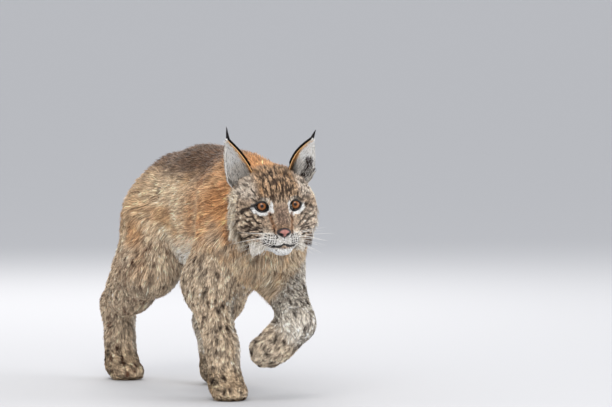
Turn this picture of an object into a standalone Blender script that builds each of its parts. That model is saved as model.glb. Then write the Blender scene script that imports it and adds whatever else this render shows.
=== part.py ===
"""A young Eurasian lynx in its first winter, life size, caught in mid stride.

The animal faces -Y with its left side towards +X and stands on the plane z = 0. The left
forepaw is lifted. The furred outline is one blended field of balls and limbs, meshed once,
parted into named solids by thin cuts, and dressed with locks on the ruff and the ear tips.
"""

import math

import bmesh
import bpy
import numpy as np
from mathutils import Euler, Matrix, Vector

# Driving dimensions of the animal, in metres and degrees
SHOULDER_HEIGHT = 0.510
RUMP_HEIGHT = 0.490
EYE_HEIGHT = 0.405
EYE_LINE_X = -0.025
EYE_LINE_Y = -0.36
HEAD_YAW = -11.0
HEAD_PITCH = 8.0
HEAD_ROLL = -2.5
EYE_SPACING = 0.068
EYE_RADIUS = 0.0128
EAR_THICKNESS = 0.003
TUFT_LENGTH = 0.026
PAW_HALF_WIDTH = 0.038
SHOULDER_Y = -0.15
HIP_Y = 0.235
RIGHT_FOREPAW = Vector((-0.060, -0.175, 0.0))
RIGHT_HINDPAW = Vector((-0.076, 0.370, 0.0))
LEFT_HINDPAW = Vector((0.064, 0.170, 0.0))
LIFTED_WRIST = Vector((0.040, -0.300, 0.168))
LIFTED_TOES = Vector((-0.018, -0.262, 0.092))
TAIL_ROOT = Vector((0.0, 0.305, 0.425))
TAIL_LENGTH = 0.150

# Gap between parted solids, the mesh pitch and the triangles of each solid
GAP = 0.0003
BODY_VOXEL = 0.0060
LEG_VOXEL = 0.0050
HEAD_VOXEL = 0.0030
BODY_TRIANGLES = 4600
LEG_TRIANGLES = 2700
HEAD_TRIANGLES = 4600

HEAD_FRAME = Matrix.Translation((EYE_LINE_X, EYE_LINE_Y, EYE_HEIGHT)) @ Euler(
    (math.radians(HEAD_PITCH), math.radians(HEAD_ROLL), math.radians(HEAD_YAW))
).to_matrix().to_4x4()
EYES = {"left": Vector((EYE_SPACING / 2, 0.002, 0)), "right": Vector((-EYE_SPACING / 2, 0.002, 0))}
NOSE = Vector((0, -0.0465, -0.0395))


class Ball:
    """An ellipsoid of flesh and fur."""

    def __init__(self, centre, radii, turn=(0, 0, 0), blend=0.03, frame=None):
        frame = frame or Matrix.Identity(4)
        rotation = Euler([math.radians(a) for a in turn]).to_matrix().to_4x4()
        self.placed = frame @ Matrix.Translation(centre) @ rotation
        self.radii = np.array(radii)
        self.blend = blend

    def distance(self, points):
        inverse = np.array(self.placed.inverted())
        local = points @ inverse[:3, :3].T + inverse[:3, 3]
        near = np.linalg.norm(local / self.radii, axis=1)
        slope = np.linalg.norm(local / self.radii**2, axis=1) + 1e-9
        return near * (near - 1.0) / slope

    def add_to(self, build):
        size = Matrix.Diagonal((*self.radii, 1.0))
        bmesh.ops.create_icosphere(build, subdivisions=4, radius=1.0, matrix=self.placed @ size)


class Limb:
    """A round bar of flesh that tapers from one joint to the next."""

    def __init__(self, start, end, start_radius, end_radius, blend=0.025, frame=None):
        frame = frame or Matrix.Identity(4)
        self.start = frame @ Vector(start)
        self.end = frame @ Vector(end)
        self.start_radius = start_radius
        self.end_radius = end_radius
        self.blend = blend

    def distance(self, points):
        axis = np.array(self.end - self.start)
        along = points - np.array(self.start)
        share = np.clip(along @ axis / (axis @ axis), 0.0, 1.0)
        radius = self.start_radius + (self.end_radius - self.start_radius) * share
        return np.linalg.norm(along - share[:, None] * axis, axis=1) - radius

    def add_to(self, build):
        steps = 6
        for step in range(steps + 1):
            share = step / steps
            radius = self.start_radius + (self.end_radius - self.start_radius) * share
            place = Matrix.Translation(self.start.lerp(self.end, share))
            bmesh.ops.create_icosphere(build, subdivisions=3, radius=radius, matrix=place)


def both_sides(make, centre, *sizes, **more):
    """The same muscle on the left and on the right of a symmetric part."""
    turn = more.pop("turn", (0, 0, 0))
    mirrored = (-centre[0], centre[1], centre[2])
    right_turn = (turn[0], -turn[1], -turn[2])
    return [
        make(centre, *sizes, turn=turn, **more),
        make(mirrored, *sizes, turn=right_turn, **more),
    ]


def trunk():
    """Chest, belly, loin, rump, shoulders and neck, with the depth of the winter coat."""
    back = SHOULDER_HEIGHT
    chest_y = SHOULDER_Y
    flesh = [
        Ball((0, chest_y + 0.075, 0.372), (0.087, 0.160, 0.122), blend=0.05),
        Ball((0, 0.100, 0.386), (0.085, 0.150, 0.106), blend=0.05),
        Ball((0, HIP_Y - 0.025, 0.380), (0.078, 0.092, 0.094), blend=0.05),
        Ball((0, HIP_Y + 0.010, RUMP_HEIGHT - 0.086), (0.058, 0.060, 0.074), blend=0.05),
        Ball((-0.014, chest_y + 0.015, back - 0.080), (0.046, 0.095, 0.067), blend=0.05),
        Ball((0, 0.055, back - 0.072), (0.058, 0.130, 0.066), blend=0.05),
        Ball((0, chest_y - 0.045, 0.312), (0.068, 0.064, 0.086), blend=0.05),
        Ball((0, 0.050, 0.312), (0.068, 0.150, 0.062), blend=0.05),
    ]
    flesh += both_sides(Ball, (0.048, chest_y - 0.005, 0.366), (0.044, 0.074, 0.100), blend=0.04)
    flesh += both_sides(Ball, (0.048, HIP_Y - 0.015, 0.350), (0.046, 0.084, 0.094), blend=0.04)
    nape = HEAD_FRAME @ Vector((0, 0.085, -0.018))
    flesh.append(Limb((-0.013, chest_y - 0.010, 0.390), nape, 0.077, 0.065, blend=0.05))
    return flesh


def tail():
    """The bobbed tail, hanging from the rump and thick with fur to its blunt tip."""
    bend = TAIL_ROOT + Vector((0, 0.052, -0.040))
    tip = bend + Vector((0, 0.020, -0.055 - 0.4 * (TAIL_LENGTH - 0.15)))
    return [
        Limb(TAIL_ROOT + Vector((0, -0.040, 0.010)), bend, 0.036, 0.028, blend=0.03),
        Limb(bend, tip, 0.028, 0.027, blend=0.02),
    ]


def paw(frame):
    """A broad, furry winter paw with four toes; its frame has the sole at z = 0, toes to -Y."""
    wide = PAW_HALF_WIDTH
    flesh = [Ball((0, 0.010, 0.026), (wide * 0.92, 0.046, 0.030), blend=0.018, frame=frame)]
    for across, forward in ((-0.69, 0.020), (-0.25, 0.034), (0.25, 0.034), (0.69, 0.020)):
        centre = (across * wide, -forward, 0.0165)
        flesh.append(Ball(centre, (0.0125, 0.0200, 0.0190), blend=0.007, frame=frame))
    return flesh


def planted_frame(toes, yaw):
    return Matrix.Translation(toes) @ Matrix.Rotation(math.radians(yaw), 4, "Z")


def lifted_frame():
    """Frame of the hanging paw: its toes point along the folded foot, its pads face back."""
    along = (LIFTED_TOES - LIFTED_WRIST).normalized()
    pads = Vector((-0.20, 0.90, -0.25))
    pads = (pads - along * pads.dot(along)).normalized()
    across = along.cross(pads).normalized()
    turned = Matrix((across, -along, -pads)).transposed().to_4x4()
    return Matrix.Translation(LIFTED_TOES - along * 0.030 + pads * 0.026) @ turned


def right_foreleg():
    """The planted foreleg, straight under the shoulder and set close to the midline."""
    wrist = RIGHT_FOREPAW + Vector((-0.004, 0.020, 0.105))
    elbow = Vector((-0.079, SHOULDER_Y + 0.042, 0.235))
    shoulder = Vector((-0.056, SHOULDER_Y - 0.026, 0.335))
    flesh = [
        Limb(shoulder, elbow, 0.056, 0.048, blend=0.03),
        Limb(elbow, wrist, 0.045, 0.032, blend=0.03),
        Ball((-0.073, SHOULDER_Y + 0.015, 0.250), (0.044, 0.056, 0.062), blend=0.03),
        Limb(wrist, RIGHT_FOREPAW + Vector((0, 0.012, 0.040)), 0.032, 0.033, blend=0.02),
    ]
    return flesh + paw(planted_frame(RIGHT_FOREPAW, -10.0))


def left_foreleg():
    """The lifted foreleg, its wrist folded so that the paw swings in under the chest."""
    shoulder = Vector((0.046, SHOULDER_Y - 0.024, 0.330))
    elbow = Vector((0.062, SHOULDER_Y - 0.006, 0.258))
    along = (LIFTED_TOES - LIFTED_WRIST).normalized()
    flesh = [
        Limb(shoulder, elbow, 0.054, 0.046, blend=0.03),
        Limb(elbow, LIFTED_WRIST, 0.044, 0.035, blend=0.03),
        Limb(LIFTED_WRIST, LIFTED_WRIST + along * 0.055, 0.035, 0.033, blend=0.02),
    ]
    return flesh + paw(lifted_frame())


def hind_leg(toes, side, knee, hock, yaw):
    """A planted hind leg: long thigh, bent hock and a long foot."""
    hip = Vector((side * 0.052, HIP_Y - 0.005, 0.360))
    flesh = [
        Limb(hip, knee, 0.072, 0.056, blend=0.04),
        Limb(hip + Vector((0, 0.040, -0.030)), knee.lerp(hock, 0.62), 0.060, 0.047, blend=0.04),
        Limb(knee, hock, 0.054, 0.035, blend=0.035),
        Limb(hock, toes + Vector((0, 0.020, 0.040)), 0.034, 0.034, blend=0.025),
    ]
    return flesh + paw(planted_frame(toes, yaw))


def head():
    """Skull, cheeks, brow, muzzle and jaw in the head's own frame, eyes at its origin."""
    at = dict(frame=HEAD_FRAME)
    flesh = [
        Ball((0, 0.050, 0.004), (0.064, 0.066, 0.053), blend=0.03, **at),
        Ball((0, 0.018, 0.016), (0.046, 0.030, 0.031), blend=0.022, **at),
        Ball((0, 0.090, -0.012), (0.070, 0.060, 0.060), blend=0.04, **at),
        Ball((0, 0.010, -0.062), (0.036, 0.046, 0.028), blend=0.022, **at),
        Limb((0, 0.008, 0.004), (0, -0.036, -0.030), 0.0210, 0.0150, blend=0.016, **at),
    ]
    flesh += both_sides(Ball, (0.046, 0.036, -0.018), (0.042, 0.040, 0.044), blend=0.022, **at)
    flesh += both_sides(Ball, (0.034, 0.030, -0.052), (0.036, 0.040, 0.034), blend=0.022, **at)
    flesh += both_sides(Ball, (0.018, -0.010, -0.036), (0.020, 0.026, 0.020), blend=0.016, **at)
    flesh += both_sides(Ball, (0.0165, -0.0330, -0.0520), (0.0205, 0.0200, 0.0160), blend=0.008, **at)
    flesh += both_sides(Ball, (0.030, 0.006, 0.017), (0.018, 0.012, 0.007), blend=0.012, **at)
    flesh.append(Ball((0, -0.0180, -0.0640), (0.0270, 0.0260, 0.0160), blend=0.008, **at))
    flesh.append(Ball((0, -0.0290, -0.0765), (0.0215, 0.0210, 0.0140), blend=0.008, **at))
    return flesh


def blended(distance, flesh, points):
    """The smooth union of more muscles with a distance that is already there."""
    for muscle in flesh:
        other = muscle.distance(points)
        if distance is None:
            distance = other
            continue
        blend = muscle.blend
        share = np.clip(0.5 + 0.5 * (distance - other) / blend, 0.0, 1.0)
        distance = distance * (1 - share) + other * share - blend * share * (1 - share)
    return distance


LEGS = {
    "foreleg_right": right_foreleg(),
    "foreleg_left": left_foreleg(),
    "hindleg_right": hind_leg(
        RIGHT_HINDPAW, -1, Vector((-0.080, 0.200, 0.250)), Vector((-0.080, 0.395, 0.160)), -6.0
    ),
    "hindleg_left": hind_leg(
        LEFT_HINDPAW, 1, Vector((0.082, 0.125, 0.262)), Vector((0.072, 0.245, 0.130)), 6.0
    ),
}
TRUNK = trunk()
TAIL = tail()
HEAD = head()


def furred_distance(points, legs=()):
    """Distance to the furred outline; the legs blend with the trunk and not with each other."""
    body = blended(None, TRUNK + TAIL, points)
    nearest = blended(body, HEAD, points)
    for name in legs:
        leg = blended(None, LEGS[name], points)
        share = np.clip(0.5 + 0.5 * (body - leg) / 0.04, 0.0, 1.0)
        joined = body * (1 - share) + leg * share - 0.04 * share * (1 - share)
        nearest = np.minimum(nearest, joined)
    return nearest


def settle(points, steps, legs=()):
    """Moves points onto the furred outline along the slope of its distance."""
    nudge = 0.0004
    for _ in range(steps):
        here = furred_distance(points, legs)
        slopes = [(furred_distance(points + nudge * axis, legs) - here) / nudge for axis in np.eye(3)]
        slope = np.stack(slopes, axis=1)
        length = np.maximum((slope**2).sum(axis=1), 0.05)
        step = np.clip(here / length, -0.006, 0.006)
        points = points - step[:, None] * slope
    return points


# Each leg's room: side, height of its flat lid, rise of the lid outward, front and rear
CELLS = {
    "foreleg_right": (-1, 0.203, 1.10, -0.290, -0.050),
    "foreleg_left": (1, 0.203, 1.10, -0.420, -0.050),
    "hindleg_right": (-1, 0.236, 1.05, 0.095, 0.500),
    "hindleg_left": (1, 0.236, 1.05, 0.055, 0.500),
}
LEG_NODES = {
    "foreleg_right": ("foreleg_right_upper", "foreleg_right_lower", "forepaw_right"),
    "foreleg_left": ("foreleg_left_upper", "foreleg_left_lower", "forepaw_left"),
    "hindleg_right": ("hindleg_right_thigh", "hindleg_right_shank", "hindpaw_right"),
    "hindleg_left": ("hindleg_left_thigh", "hindleg_left_shank", "hindpaw_left"),
}
# Where each leg is parted: a point, and a normal towards the paw
LEG_CUTS = {
    "foreleg_right": (((-0.08, -0.11, 0.200), (0, -0.15, -1)), ((-0.06, -0.15, 0.066), (0, 0, -1))),
    "foreleg_left": (
        (Vector((0.068, -0.215, 0.228)), (-0.1, -1.0, -0.55)),
        (LIFTED_WRIST.lerp(LIFTED_TOES, 0.30), LIFTED_TOES - LIFTED_WRIST),
    ),
    "hindleg_right": (((-0.08, 0.25, 0.225), (0, 0.55, -1)), ((-0.08, 0.38, 0.072), (0, 0, -1))),
    "hindleg_left": (((0.08, 0.16, 0.220), (0, 0.55, -1)), ((0.07, 0.21, 0.072), (0, 0, -1))),
}
NECK_BASE = Vector((0, -0.215, 0.400))
TAIL_BASE = Vector((0, 0.325, 0.430))

# The locks of the ear tips (spread, share of the length) and of the cheeks
TUFT_FAN = ((-0.16, 0.62), (-0.06, 0.88), (0.0, 1.0), (0.07, 0.82), (0.17, 0.60))
TUFT_WIDTH = 0.0070
RUFF_TIERS = (0.034, 0.050, 0.064)
RUFF_LOCKS = 7
RUFF_WIDTH = 0.020


def clear_scene():
    for obj in list(bpy.data.objects):
        bpy.data.objects.remove(obj)


def link(obj, collection):
    collection.objects.link(obj)
    return obj


def apply_modifiers(obj):
    """Replaces the object's mesh by its evaluated one and drops the modifiers."""
    bpy.context.view_layer.update()
    graph = bpy.context.evaluated_depsgraph_get()
    mesh = bpy.data.meshes.new_from_object(obj.evaluated_get(graph))
    obj.modifiers.clear()
    obj.data = mesh
    return obj


def new_object(name, build, collection):
    mesh = bpy.data.meshes.new(name)
    build.to_mesh(mesh)
    build.free()
    return link(bpy.data.objects.new(name, mesh), collection)


def vertex_array(mesh):
    points = np.empty(len(mesh.vertices) * 3)
    mesh.vertices.foreach_get("co", points)
    return points.reshape(-1, 3)


def flesh_object(name, muscles, legs, voxel, collection):
    """Muscles as one closed mesh that lies on the furred outline."""
    build = bmesh.new()
    for muscle in muscles:
        muscle.add_to(build)
    obj = new_object(name, build, collection)
    remesh = obj.modifiers.new("Remesh", "REMESH")
    remesh.mode = "VOXEL"
    remesh.voxel_size = voxel
    apply_modifiers(obj)
    obj.data.vertices.foreach_set("co", settle(vertex_array(obj.data), 3, legs).ravel())
    smooth = obj.modifiers.new("Smooth", "SMOOTH")
    smooth.factor = 0.5
    smooth.iterations = 4
    apply_modifiers(obj)
    obj.data.vertices.foreach_set("co", settle(vertex_array(obj.data), 2, legs).ravel())
    return obj


def thin_out(obj, triangles):
    """Collapses the mesh to about so many triangles."""
    decimate = obj.modifiers.new("Decimate", "DECIMATE")
    decimate.ratio = triangles / (2.0 * len(obj.data.polygons))
    apply_modifiers(obj)


def keep_largest(obj):
    """Drops every loose piece of a mesh but the one with the most vertices."""
    build = bmesh.new()
    build.from_mesh(obj.data)
    unseen = set(build.verts)
    pieces = []
    while unseen:
        piece = {unseen.pop()}
        edge = list(piece)
        while edge:
            vertex = edge.pop()
            for link_edge in vertex.link_edges:
                other = link_edge.other_vert(vertex)
                if other in unseen:
                    unseen.discard(other)
                    piece.add(other)
                    edge.append(other)
        pieces.append(piece)
    pieces.sort(key=len)
    for piece in pieces[:-1]:
        bmesh.ops.delete(build, geom=list(piece), context="VERTS")
    build.to_mesh(obj.data)
    build.free()
    return obj


def boolean(obj, operand, operation):
    """Joins or cuts with one object or a collection, applies it, and removes the operand."""
    before = obj.data
    for solver in ("EXACT", "MANIFOLD"):
        modifier = obj.modifiers.new("Boolean", "BOOLEAN")
        modifier.operation = operation
        modifier.solver = solver
        if isinstance(operand, bpy.types.Collection):
            modifier.operand_type = "COLLECTION"
            modifier.collection = operand
            used = list(operand.objects)
        else:
            modifier.object = operand
            used = [operand]
        apply_modifiers(obj)
        if len(obj.data.vertices) > 0:
            break
        obj.data = before
    for other in used:
        bpy.data.objects.remove(other)
    return keep_largest(obj)


def cut_plane(obj, point, normal, keep_name):
    """Copies obj, keeps the side that the normal points to, closes the cut with a flat face."""
    piece = obj.copy()
    piece.data = obj.data.copy()
    piece.name = keep_name
    obj.users_collection[0].objects.link(piece)
    build = bmesh.new()
    build.from_mesh(piece.data)
    geometry = build.verts[:] + build.edges[:] + build.faces[:]
    normal = Vector(normal).normalized()
    bmesh.ops.bisect_plane(
        build, geom=geometry, dist=1e-7, plane_co=Vector(point) + normal * GAP / 2,
        plane_no=normal, clear_inner=True,
    )
    rim = [edge for edge in build.edges if edge.is_boundary]
    bmesh.ops.contextual_create(build, geom=rim)
    bmesh.ops.triangulate(build, faces=[face for face in build.faces if len(face.verts) > 4])
    bmesh.ops.recalc_face_normals(build, faces=build.faces[:])
    build.to_mesh(piece.data)
    build.free()
    return keep_largest(piece)


def part_at(obj, cuts, names):
    """Parts obj by planes, each a point and a normal that points to the part that stays on."""
    rest = obj
    pieces = []
    for (point, normal), name in zip(cuts, names):
        pieces.append(cut_plane(rest, point, -Vector(normal), name))
        next_rest = cut_plane(rest, point, normal, "rest")
        bpy.data.objects.remove(rest)
        rest = next_rest
    rest.name = names[-1]
    return pieces + [rest]


def inflated(obj, amount):
    """A copy of obj with its skin moved out by amount, as a cutter that leaves a gap."""
    cutter = obj.copy()
    cutter.data = obj.data.copy()
    cutter.name = "cutter_" + obj.name
    bpy.data.collections["Cutters"].objects.link(cutter)
    normals = [vertex.normal.copy() for vertex in cutter.data.vertices]
    for vertex, normal in zip(cutter.data.vertices, normals):
        vertex.co += normal * amount
    cutter.hide_render = True
    cutter.display_type = "WIRE"
    return cutter


def ball_object(name, frame, centre, radii, segments, rings, collection):
    build = bmesh.new()
    place = frame @ Matrix.Translation(centre) @ Matrix.Diagonal((*radii, 1.0))
    bmesh.ops.create_uvsphere(
        build, u_segments=segments, v_segments=rings, radius=1.0,
        matrix=place @ Matrix.Rotation(math.radians(90), 4, "X"),
    )
    return new_object(name, build, collection)


def tube_cutter(points, radius, collection):
    """A closed tube along points, made from a bevelled curve whose caps are welded on."""
    data = bpy.data.curves.new("cutter_tube", "CURVE")
    data.dimensions = "3D"
    data.bevel_depth = radius
    data.bevel_resolution = 1
    data.use_fill_caps = True
    spline = data.splines.new("POLY")
    spline.points.add(len(points) - 1)
    for point, place in zip(spline.points, points):
        point.co = (*place, 1.0)
    curve = link(bpy.data.objects.new("cutter_curve", data), collection)
    bpy.context.view_layer.update()
    graph = bpy.context.evaluated_depsgraph_get()
    mesh = bpy.data.meshes.new_from_object(curve.evaluated_get(graph))
    build = bmesh.new()
    build.from_mesh(mesh)
    bmesh.ops.remove_doubles(build, verts=build.verts[:], dist=1e-6)
    bmesh.ops.recalc_face_normals(build, faces=build.faces[:])
    bpy.data.objects.remove(curve)
    return new_object("cutter_tube", build, collection)


def on_head(place):
    """A point of the head's frame, moved onto the furred outline, in world space."""
    return Vector(settle(np.array([HEAD_FRAME @ Vector(place)]), 6)[0])


def eye_opening(name, collection):
    """An almond prism in front of one eyeball, which cuts the slit between its lids."""
    half_wide = EYE_RADIUS * 0.93
    half_high = EYE_RADIUS * 0.76
    build = bmesh.new()
    bmesh.ops.create_cone(build, cap_ends=True, segments=20, radius1=1.0, radius2=1.0, depth=1.0)
    side = 1 if name == "left" else -1
    turn = Euler((0, math.radians(side * 6), math.radians(side * 8))).to_matrix().to_4x4()
    place = HEAD_FRAME @ Matrix.Translation(EYES[name]) @ turn
    for vertex in build.verts:
        across, up, depth = vertex.co
        high = up * abs(up) ** 0.35 * half_high
        vertex.co = place @ Vector((across * half_wide, -0.019 + depth * 0.026, high))
    bmesh.ops.recalc_face_normals(build, faces=build.faces[:])
    return new_object("cutter_eye", build, collection)


def cut_face(skull, cutters, parts):
    """Lids and eyeballs, the nose leather with its nostrils, and the line of the mouth."""
    for name, centre in EYES.items():
        lid = EYE_RADIUS + 0.0026
        lids = ball_object("lids", HEAD_FRAME, centre, (lid,) * 3, 20, 14, cutters)
        boolean(skull, lids, "UNION")
        boolean(skull, eye_opening(name, cutters), "DIFFERENCE")
        hollow = EYE_RADIUS + GAP * 1.5
        socket = ball_object("socket", HEAD_FRAME, centre, (hollow,) * 3, 20, 14, cutters)
        boolean(skull, socket, "DIFFERENCE")
        ball_object("eye_" + name, HEAD_FRAME, centre, (EYE_RADIUS,) * 3, 20, 14, parts)
    nose = ball_object("nose", HEAD_FRAME, NOSE, (0.0138, 0.0105, 0.0098), 16, 12, parts)
    to_head = HEAD_FRAME.inverted()
    for vertex in nose.data.vertices:
        place = to_head @ vertex.co - NOSE
        low = max(0.0, -place.z / 0.0098)
        place.x *= 1.0 - 0.45 * low
        place.y += 0.0030 * low
        vertex.co = HEAD_FRAME @ (place + NOSE)
    for side in (-1, 1):
        centre = NOSE + Vector((side * 0.0066, -0.0085, -0.0020))
        nostril = ball_object("nostril", HEAD_FRAME, centre, (0.0030, 0.0040, 0.0024), 8, 6, cutters)
        boolean(nose, nostril, "DIFFERENCE")
    boolean(skull, inflated(nose, GAP * 1.5), "DIFFERENCE")
    half_mouth = [(0.0, -0.056, -0.0640), (0.010, -0.052, -0.0685), (0.020, -0.044, -0.0695),
                  (0.0275, -0.032, -0.0680), (0.032, -0.020, -0.0650)]
    left = [on_head(place) for place in half_mouth]
    right = [on_head((-x, y, z)) for x, y, z in half_mouth]
    boolean(skull, tube_cutter(right[:0:-1] + left, 0.0016, cutters), "DIFFERENCE")
    philtrum = [on_head((0, -0.052, height)) for height in (-0.0500, -0.0570, -0.0630)]
    boolean(skull, tube_cutter(philtrum, 0.0013, cutters), "DIFFERENCE")


def lock(root, direction, bend, length, width, thick, collection):
    """A flat, tapered lock of long hair: four-sided rings that narrow to one tip."""
    direction = Vector(direction).normalized()
    across = direction.cross(Vector(bend)).normalized()
    flat = across.cross(direction).normalized()
    build = bmesh.new()
    rings = []
    for share, size in ((0.0, 0.75), (0.30, 1.0), (0.68, 0.66)):
        middle = Vector(root) + length * (share * direction + 0.30 * share**2 * Vector(bend))
        corners = (across * width, flat * thick, -across * width, -flat * thick)
        rings.append([build.verts.new(middle + corner * size / 2) for corner in corners])
    tip = build.verts.new(Vector(root) + length * (direction + 0.30 * Vector(bend)))
    build.faces.new(rings[0])
    for low, high in zip(rings, rings[1:]):
        for i in range(4):
            build.faces.new((low[i], low[(i + 1) % 4], high[(i + 1) % 4], high[i]))
    for i in range(4):
        build.faces.new((rings[-1][i], rings[-1][(i + 1) % 4], tip))
    bmesh.ops.recalc_face_normals(build, faces=build.faces[:])
    return new_object("lock", build, collection)


def make_ear(side_name, skull, parts):
    """The cup of one ear, with its tip drawn out into the long tuft."""
    side = 1 if side_name == "left" else -1
    inner = Vector((side * 0.034, 0.068, 0.048))
    outer = Vector((side * 0.082, 0.082, 0.018))
    tip, bulge = {
        "left": (Vector((0.087, 0.074, 0.117)), 0.009),
        "right": (Vector((-0.090, 0.074, 0.126)), 0.004),
    }[side_name]
    back = Vector((-side * 0.25, 0.95, 0.10)).normalized()
    rows, columns = 9, 8
    build = bmesh.new()
    bmesh.ops.create_grid(build, x_segments=columns, y_segments=rows, size=1.0)
    for vertex in build.verts:
        across = (vertex.co.x + 1) / 2
        up = -0.22 + 1.20 * (vertex.co.y + 1) / 2
        swell = math.sin(math.pi * max(up, 0.0))
        a = inner.lerp(tip, up) + Vector((-side * bulge, 0, 0.6 * bulge)) * swell
        b = outer.lerp(tip, up) + Vector((side * 0.006, 0, 0)) * swell
        depth = 0.030 * max(1 - up, 0.0) ** 0.7 * math.sin(math.pi * across) ** 0.7
        vertex.co = HEAD_FRAME @ (a.lerp(b, across) + back * depth)
    ear = new_object("ear_" + side_name, build, parts)
    wall = ear.modifiers.new("Solidify", "SOLIDIFY")
    wall.thickness = EAR_THICKNESS
    wall.offset = 0.0
    apply_modifiers(ear)
    locks = bpy.data.collections.new("tuft_" + side_name)
    bpy.context.scene.collection.children.link(locks)
    axis = (tip - (inner + outer) / 2).normalized()
    turn = HEAD_FRAME.to_3x3()
    upright = Vector((side * 0.02, 0.05, 1.0))
    for fan, share in TUFT_FAN:
        direction = turn @ (axis * 0.4 + upright * 0.6 + Vector((side * fan, 0.10 * fan, 0)))
        root = HEAD_FRAME @ (tip - axis * 0.014)
        lean = turn @ Vector((side * (0.10 + fan), 0.35, 0.1))
        lock(root, direction, lean, TUFT_LENGTH * share + 0.014, TUFT_WIDTH, 0.0048, locks)
    boolean(ear, locks, "UNION")
    bpy.data.collections.remove(locks)
    boolean(ear, inflated(skull, GAP), "DIFFERENCE")
    return ear


def dress_ruff(skull):
    """Tiers of locks round each cheek, longest at the jaw's corner, flatter on the left side."""
    locks = bpy.data.collections.new("ruff")
    bpy.context.scene.collection.children.link(locks)
    turn = HEAD_FRAME.to_3x3()
    for side, reach, spread in ((-1, 0.087, 0.18), (1, 0.076, 0.03)):
        for tier, depth in enumerate(RUFF_TIERS):
            for i in range(RUFF_LOCKS):
                share = (i + 0.5 * tier) / RUFF_LOCKS
                angle = math.radians(6 - 80 * share)
                out = Vector((side * math.cos(angle), 0, math.sin(angle)))
                place = (out.x * reach, depth, -0.018 + out.z * 0.072)
                root = on_head(place)
                outward = turn @ out
                wavy = math.sin(7.0 * i + 3.0 * tier)
                fan = 0.12 * wavy
                lie = turn @ Vector((side * (spread - 0.24 * share), 0.55 + fan, -0.68 + fan))
                length = 0.034 + 0.012 * math.sin(math.pi * min(1.0, 0.25 + share)) + 0.004 * wavy
                lock(root - outward * 0.006, lie, outward * 0.15 - Vector((0, 0, 0.5)),
                     length + 0.006, RUFF_WIDTH, 0.0070, locks)
    boolean(skull, locks, "UNION")
    bpy.data.collections.remove(locks)


def leg_cell(side, low, slope, front, rear, cutters, grow=0.0):
    """The room of one leg: flat below the belly, and rising outward across its own flank."""
    wide, deep = 0.35, -0.10
    rise = low + grow * math.hypot(1.0, slope)
    outline = [(-0.15, deep), (wide, deep), (wide, rise + slope * wide), (0.0, rise), (-0.15, rise)]
    build = bmesh.new()
    face = build.faces.new([build.verts.new((side * x, front - grow, z)) for x, z in outline])
    swept = bmesh.ops.extrude_face_region(build, geom=[face])
    moved = [item for item in swept["geom"] if isinstance(item, bmesh.types.BMVert)]
    bmesh.ops.translate(build, verts=moved, vec=(0, rear - front + 2 * grow, 0))
    bmesh.ops.recalc_face_normals(build, faces=build.faces[:])
    return new_object("cutter_cell", build, cutters)


def make_leg(name, cutters, parts):
    """One leg from the cut at the trunk down to its paw, parted at its joints."""
    obj = flesh_object(name, TRUNK + LEGS[name], [name], LEG_VOXEL, parts)
    thin_out(obj, LEG_TRIANGLES)
    boolean(obj, leg_cell(*CELLS[name], cutters), "INTERSECT")
    first, second, third = LEG_NODES[name]
    pieces = part_at(obj, LEG_CUTS[name], (first, second, third))
    if name != "foreleg_left":
        grounded = cut_plane(pieces[-1], (0, 0, 0), (0, 0, 1), "grounded")
        bpy.data.objects.remove(pieces[-1])
        grounded.name = third


def paint(parts):
    """Gives every solid its slot: coat, amber eye or nose leather."""
    looks = {
        "coat": ((0.42, 0.31, 0.21), 0.9),
        "amber_eye": ((0.55, 0.24, 0.04), 0.08),
        "nose_leather": ((0.36, 0.19, 0.16), 0.5),
    }
    slots = {}
    for name, (colour, roughness) in looks.items():
        slot = bpy.data.materials.new(name)
        slot.use_nodes = True
        shader = slot.node_tree.nodes["Principled BSDF"]
        shader.inputs["Base Color"].default_value = (*colour, 1.0)
        shader.inputs["Roughness"].default_value = roughness
        slots[name] = slot
    for obj in parts.objects:
        kind = "coat"
        if obj.name.startswith("eye_"):
            kind = "amber_eye"
        if obj.name == "nose":
            kind = "nose_leather"
        obj.data.materials.clear()
        obj.data.materials.append(slots[kind])
        obj.data.name = obj.name


def recentre(parts):
    """Moves every solid so that the origin is the middle of the underside of the whole box."""
    spots = np.concatenate([vertex_array(obj.data) for obj in parts.objects])
    low, high = spots.min(axis=0), spots.max(axis=0)
    shift = -np.array([(low[0] + high[0]) / 2, (low[1] + high[1]) / 2, low[2]])
    for obj in parts.objects:
        obj.data.transform(Matrix.Translation(Vector(shift)))


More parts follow.
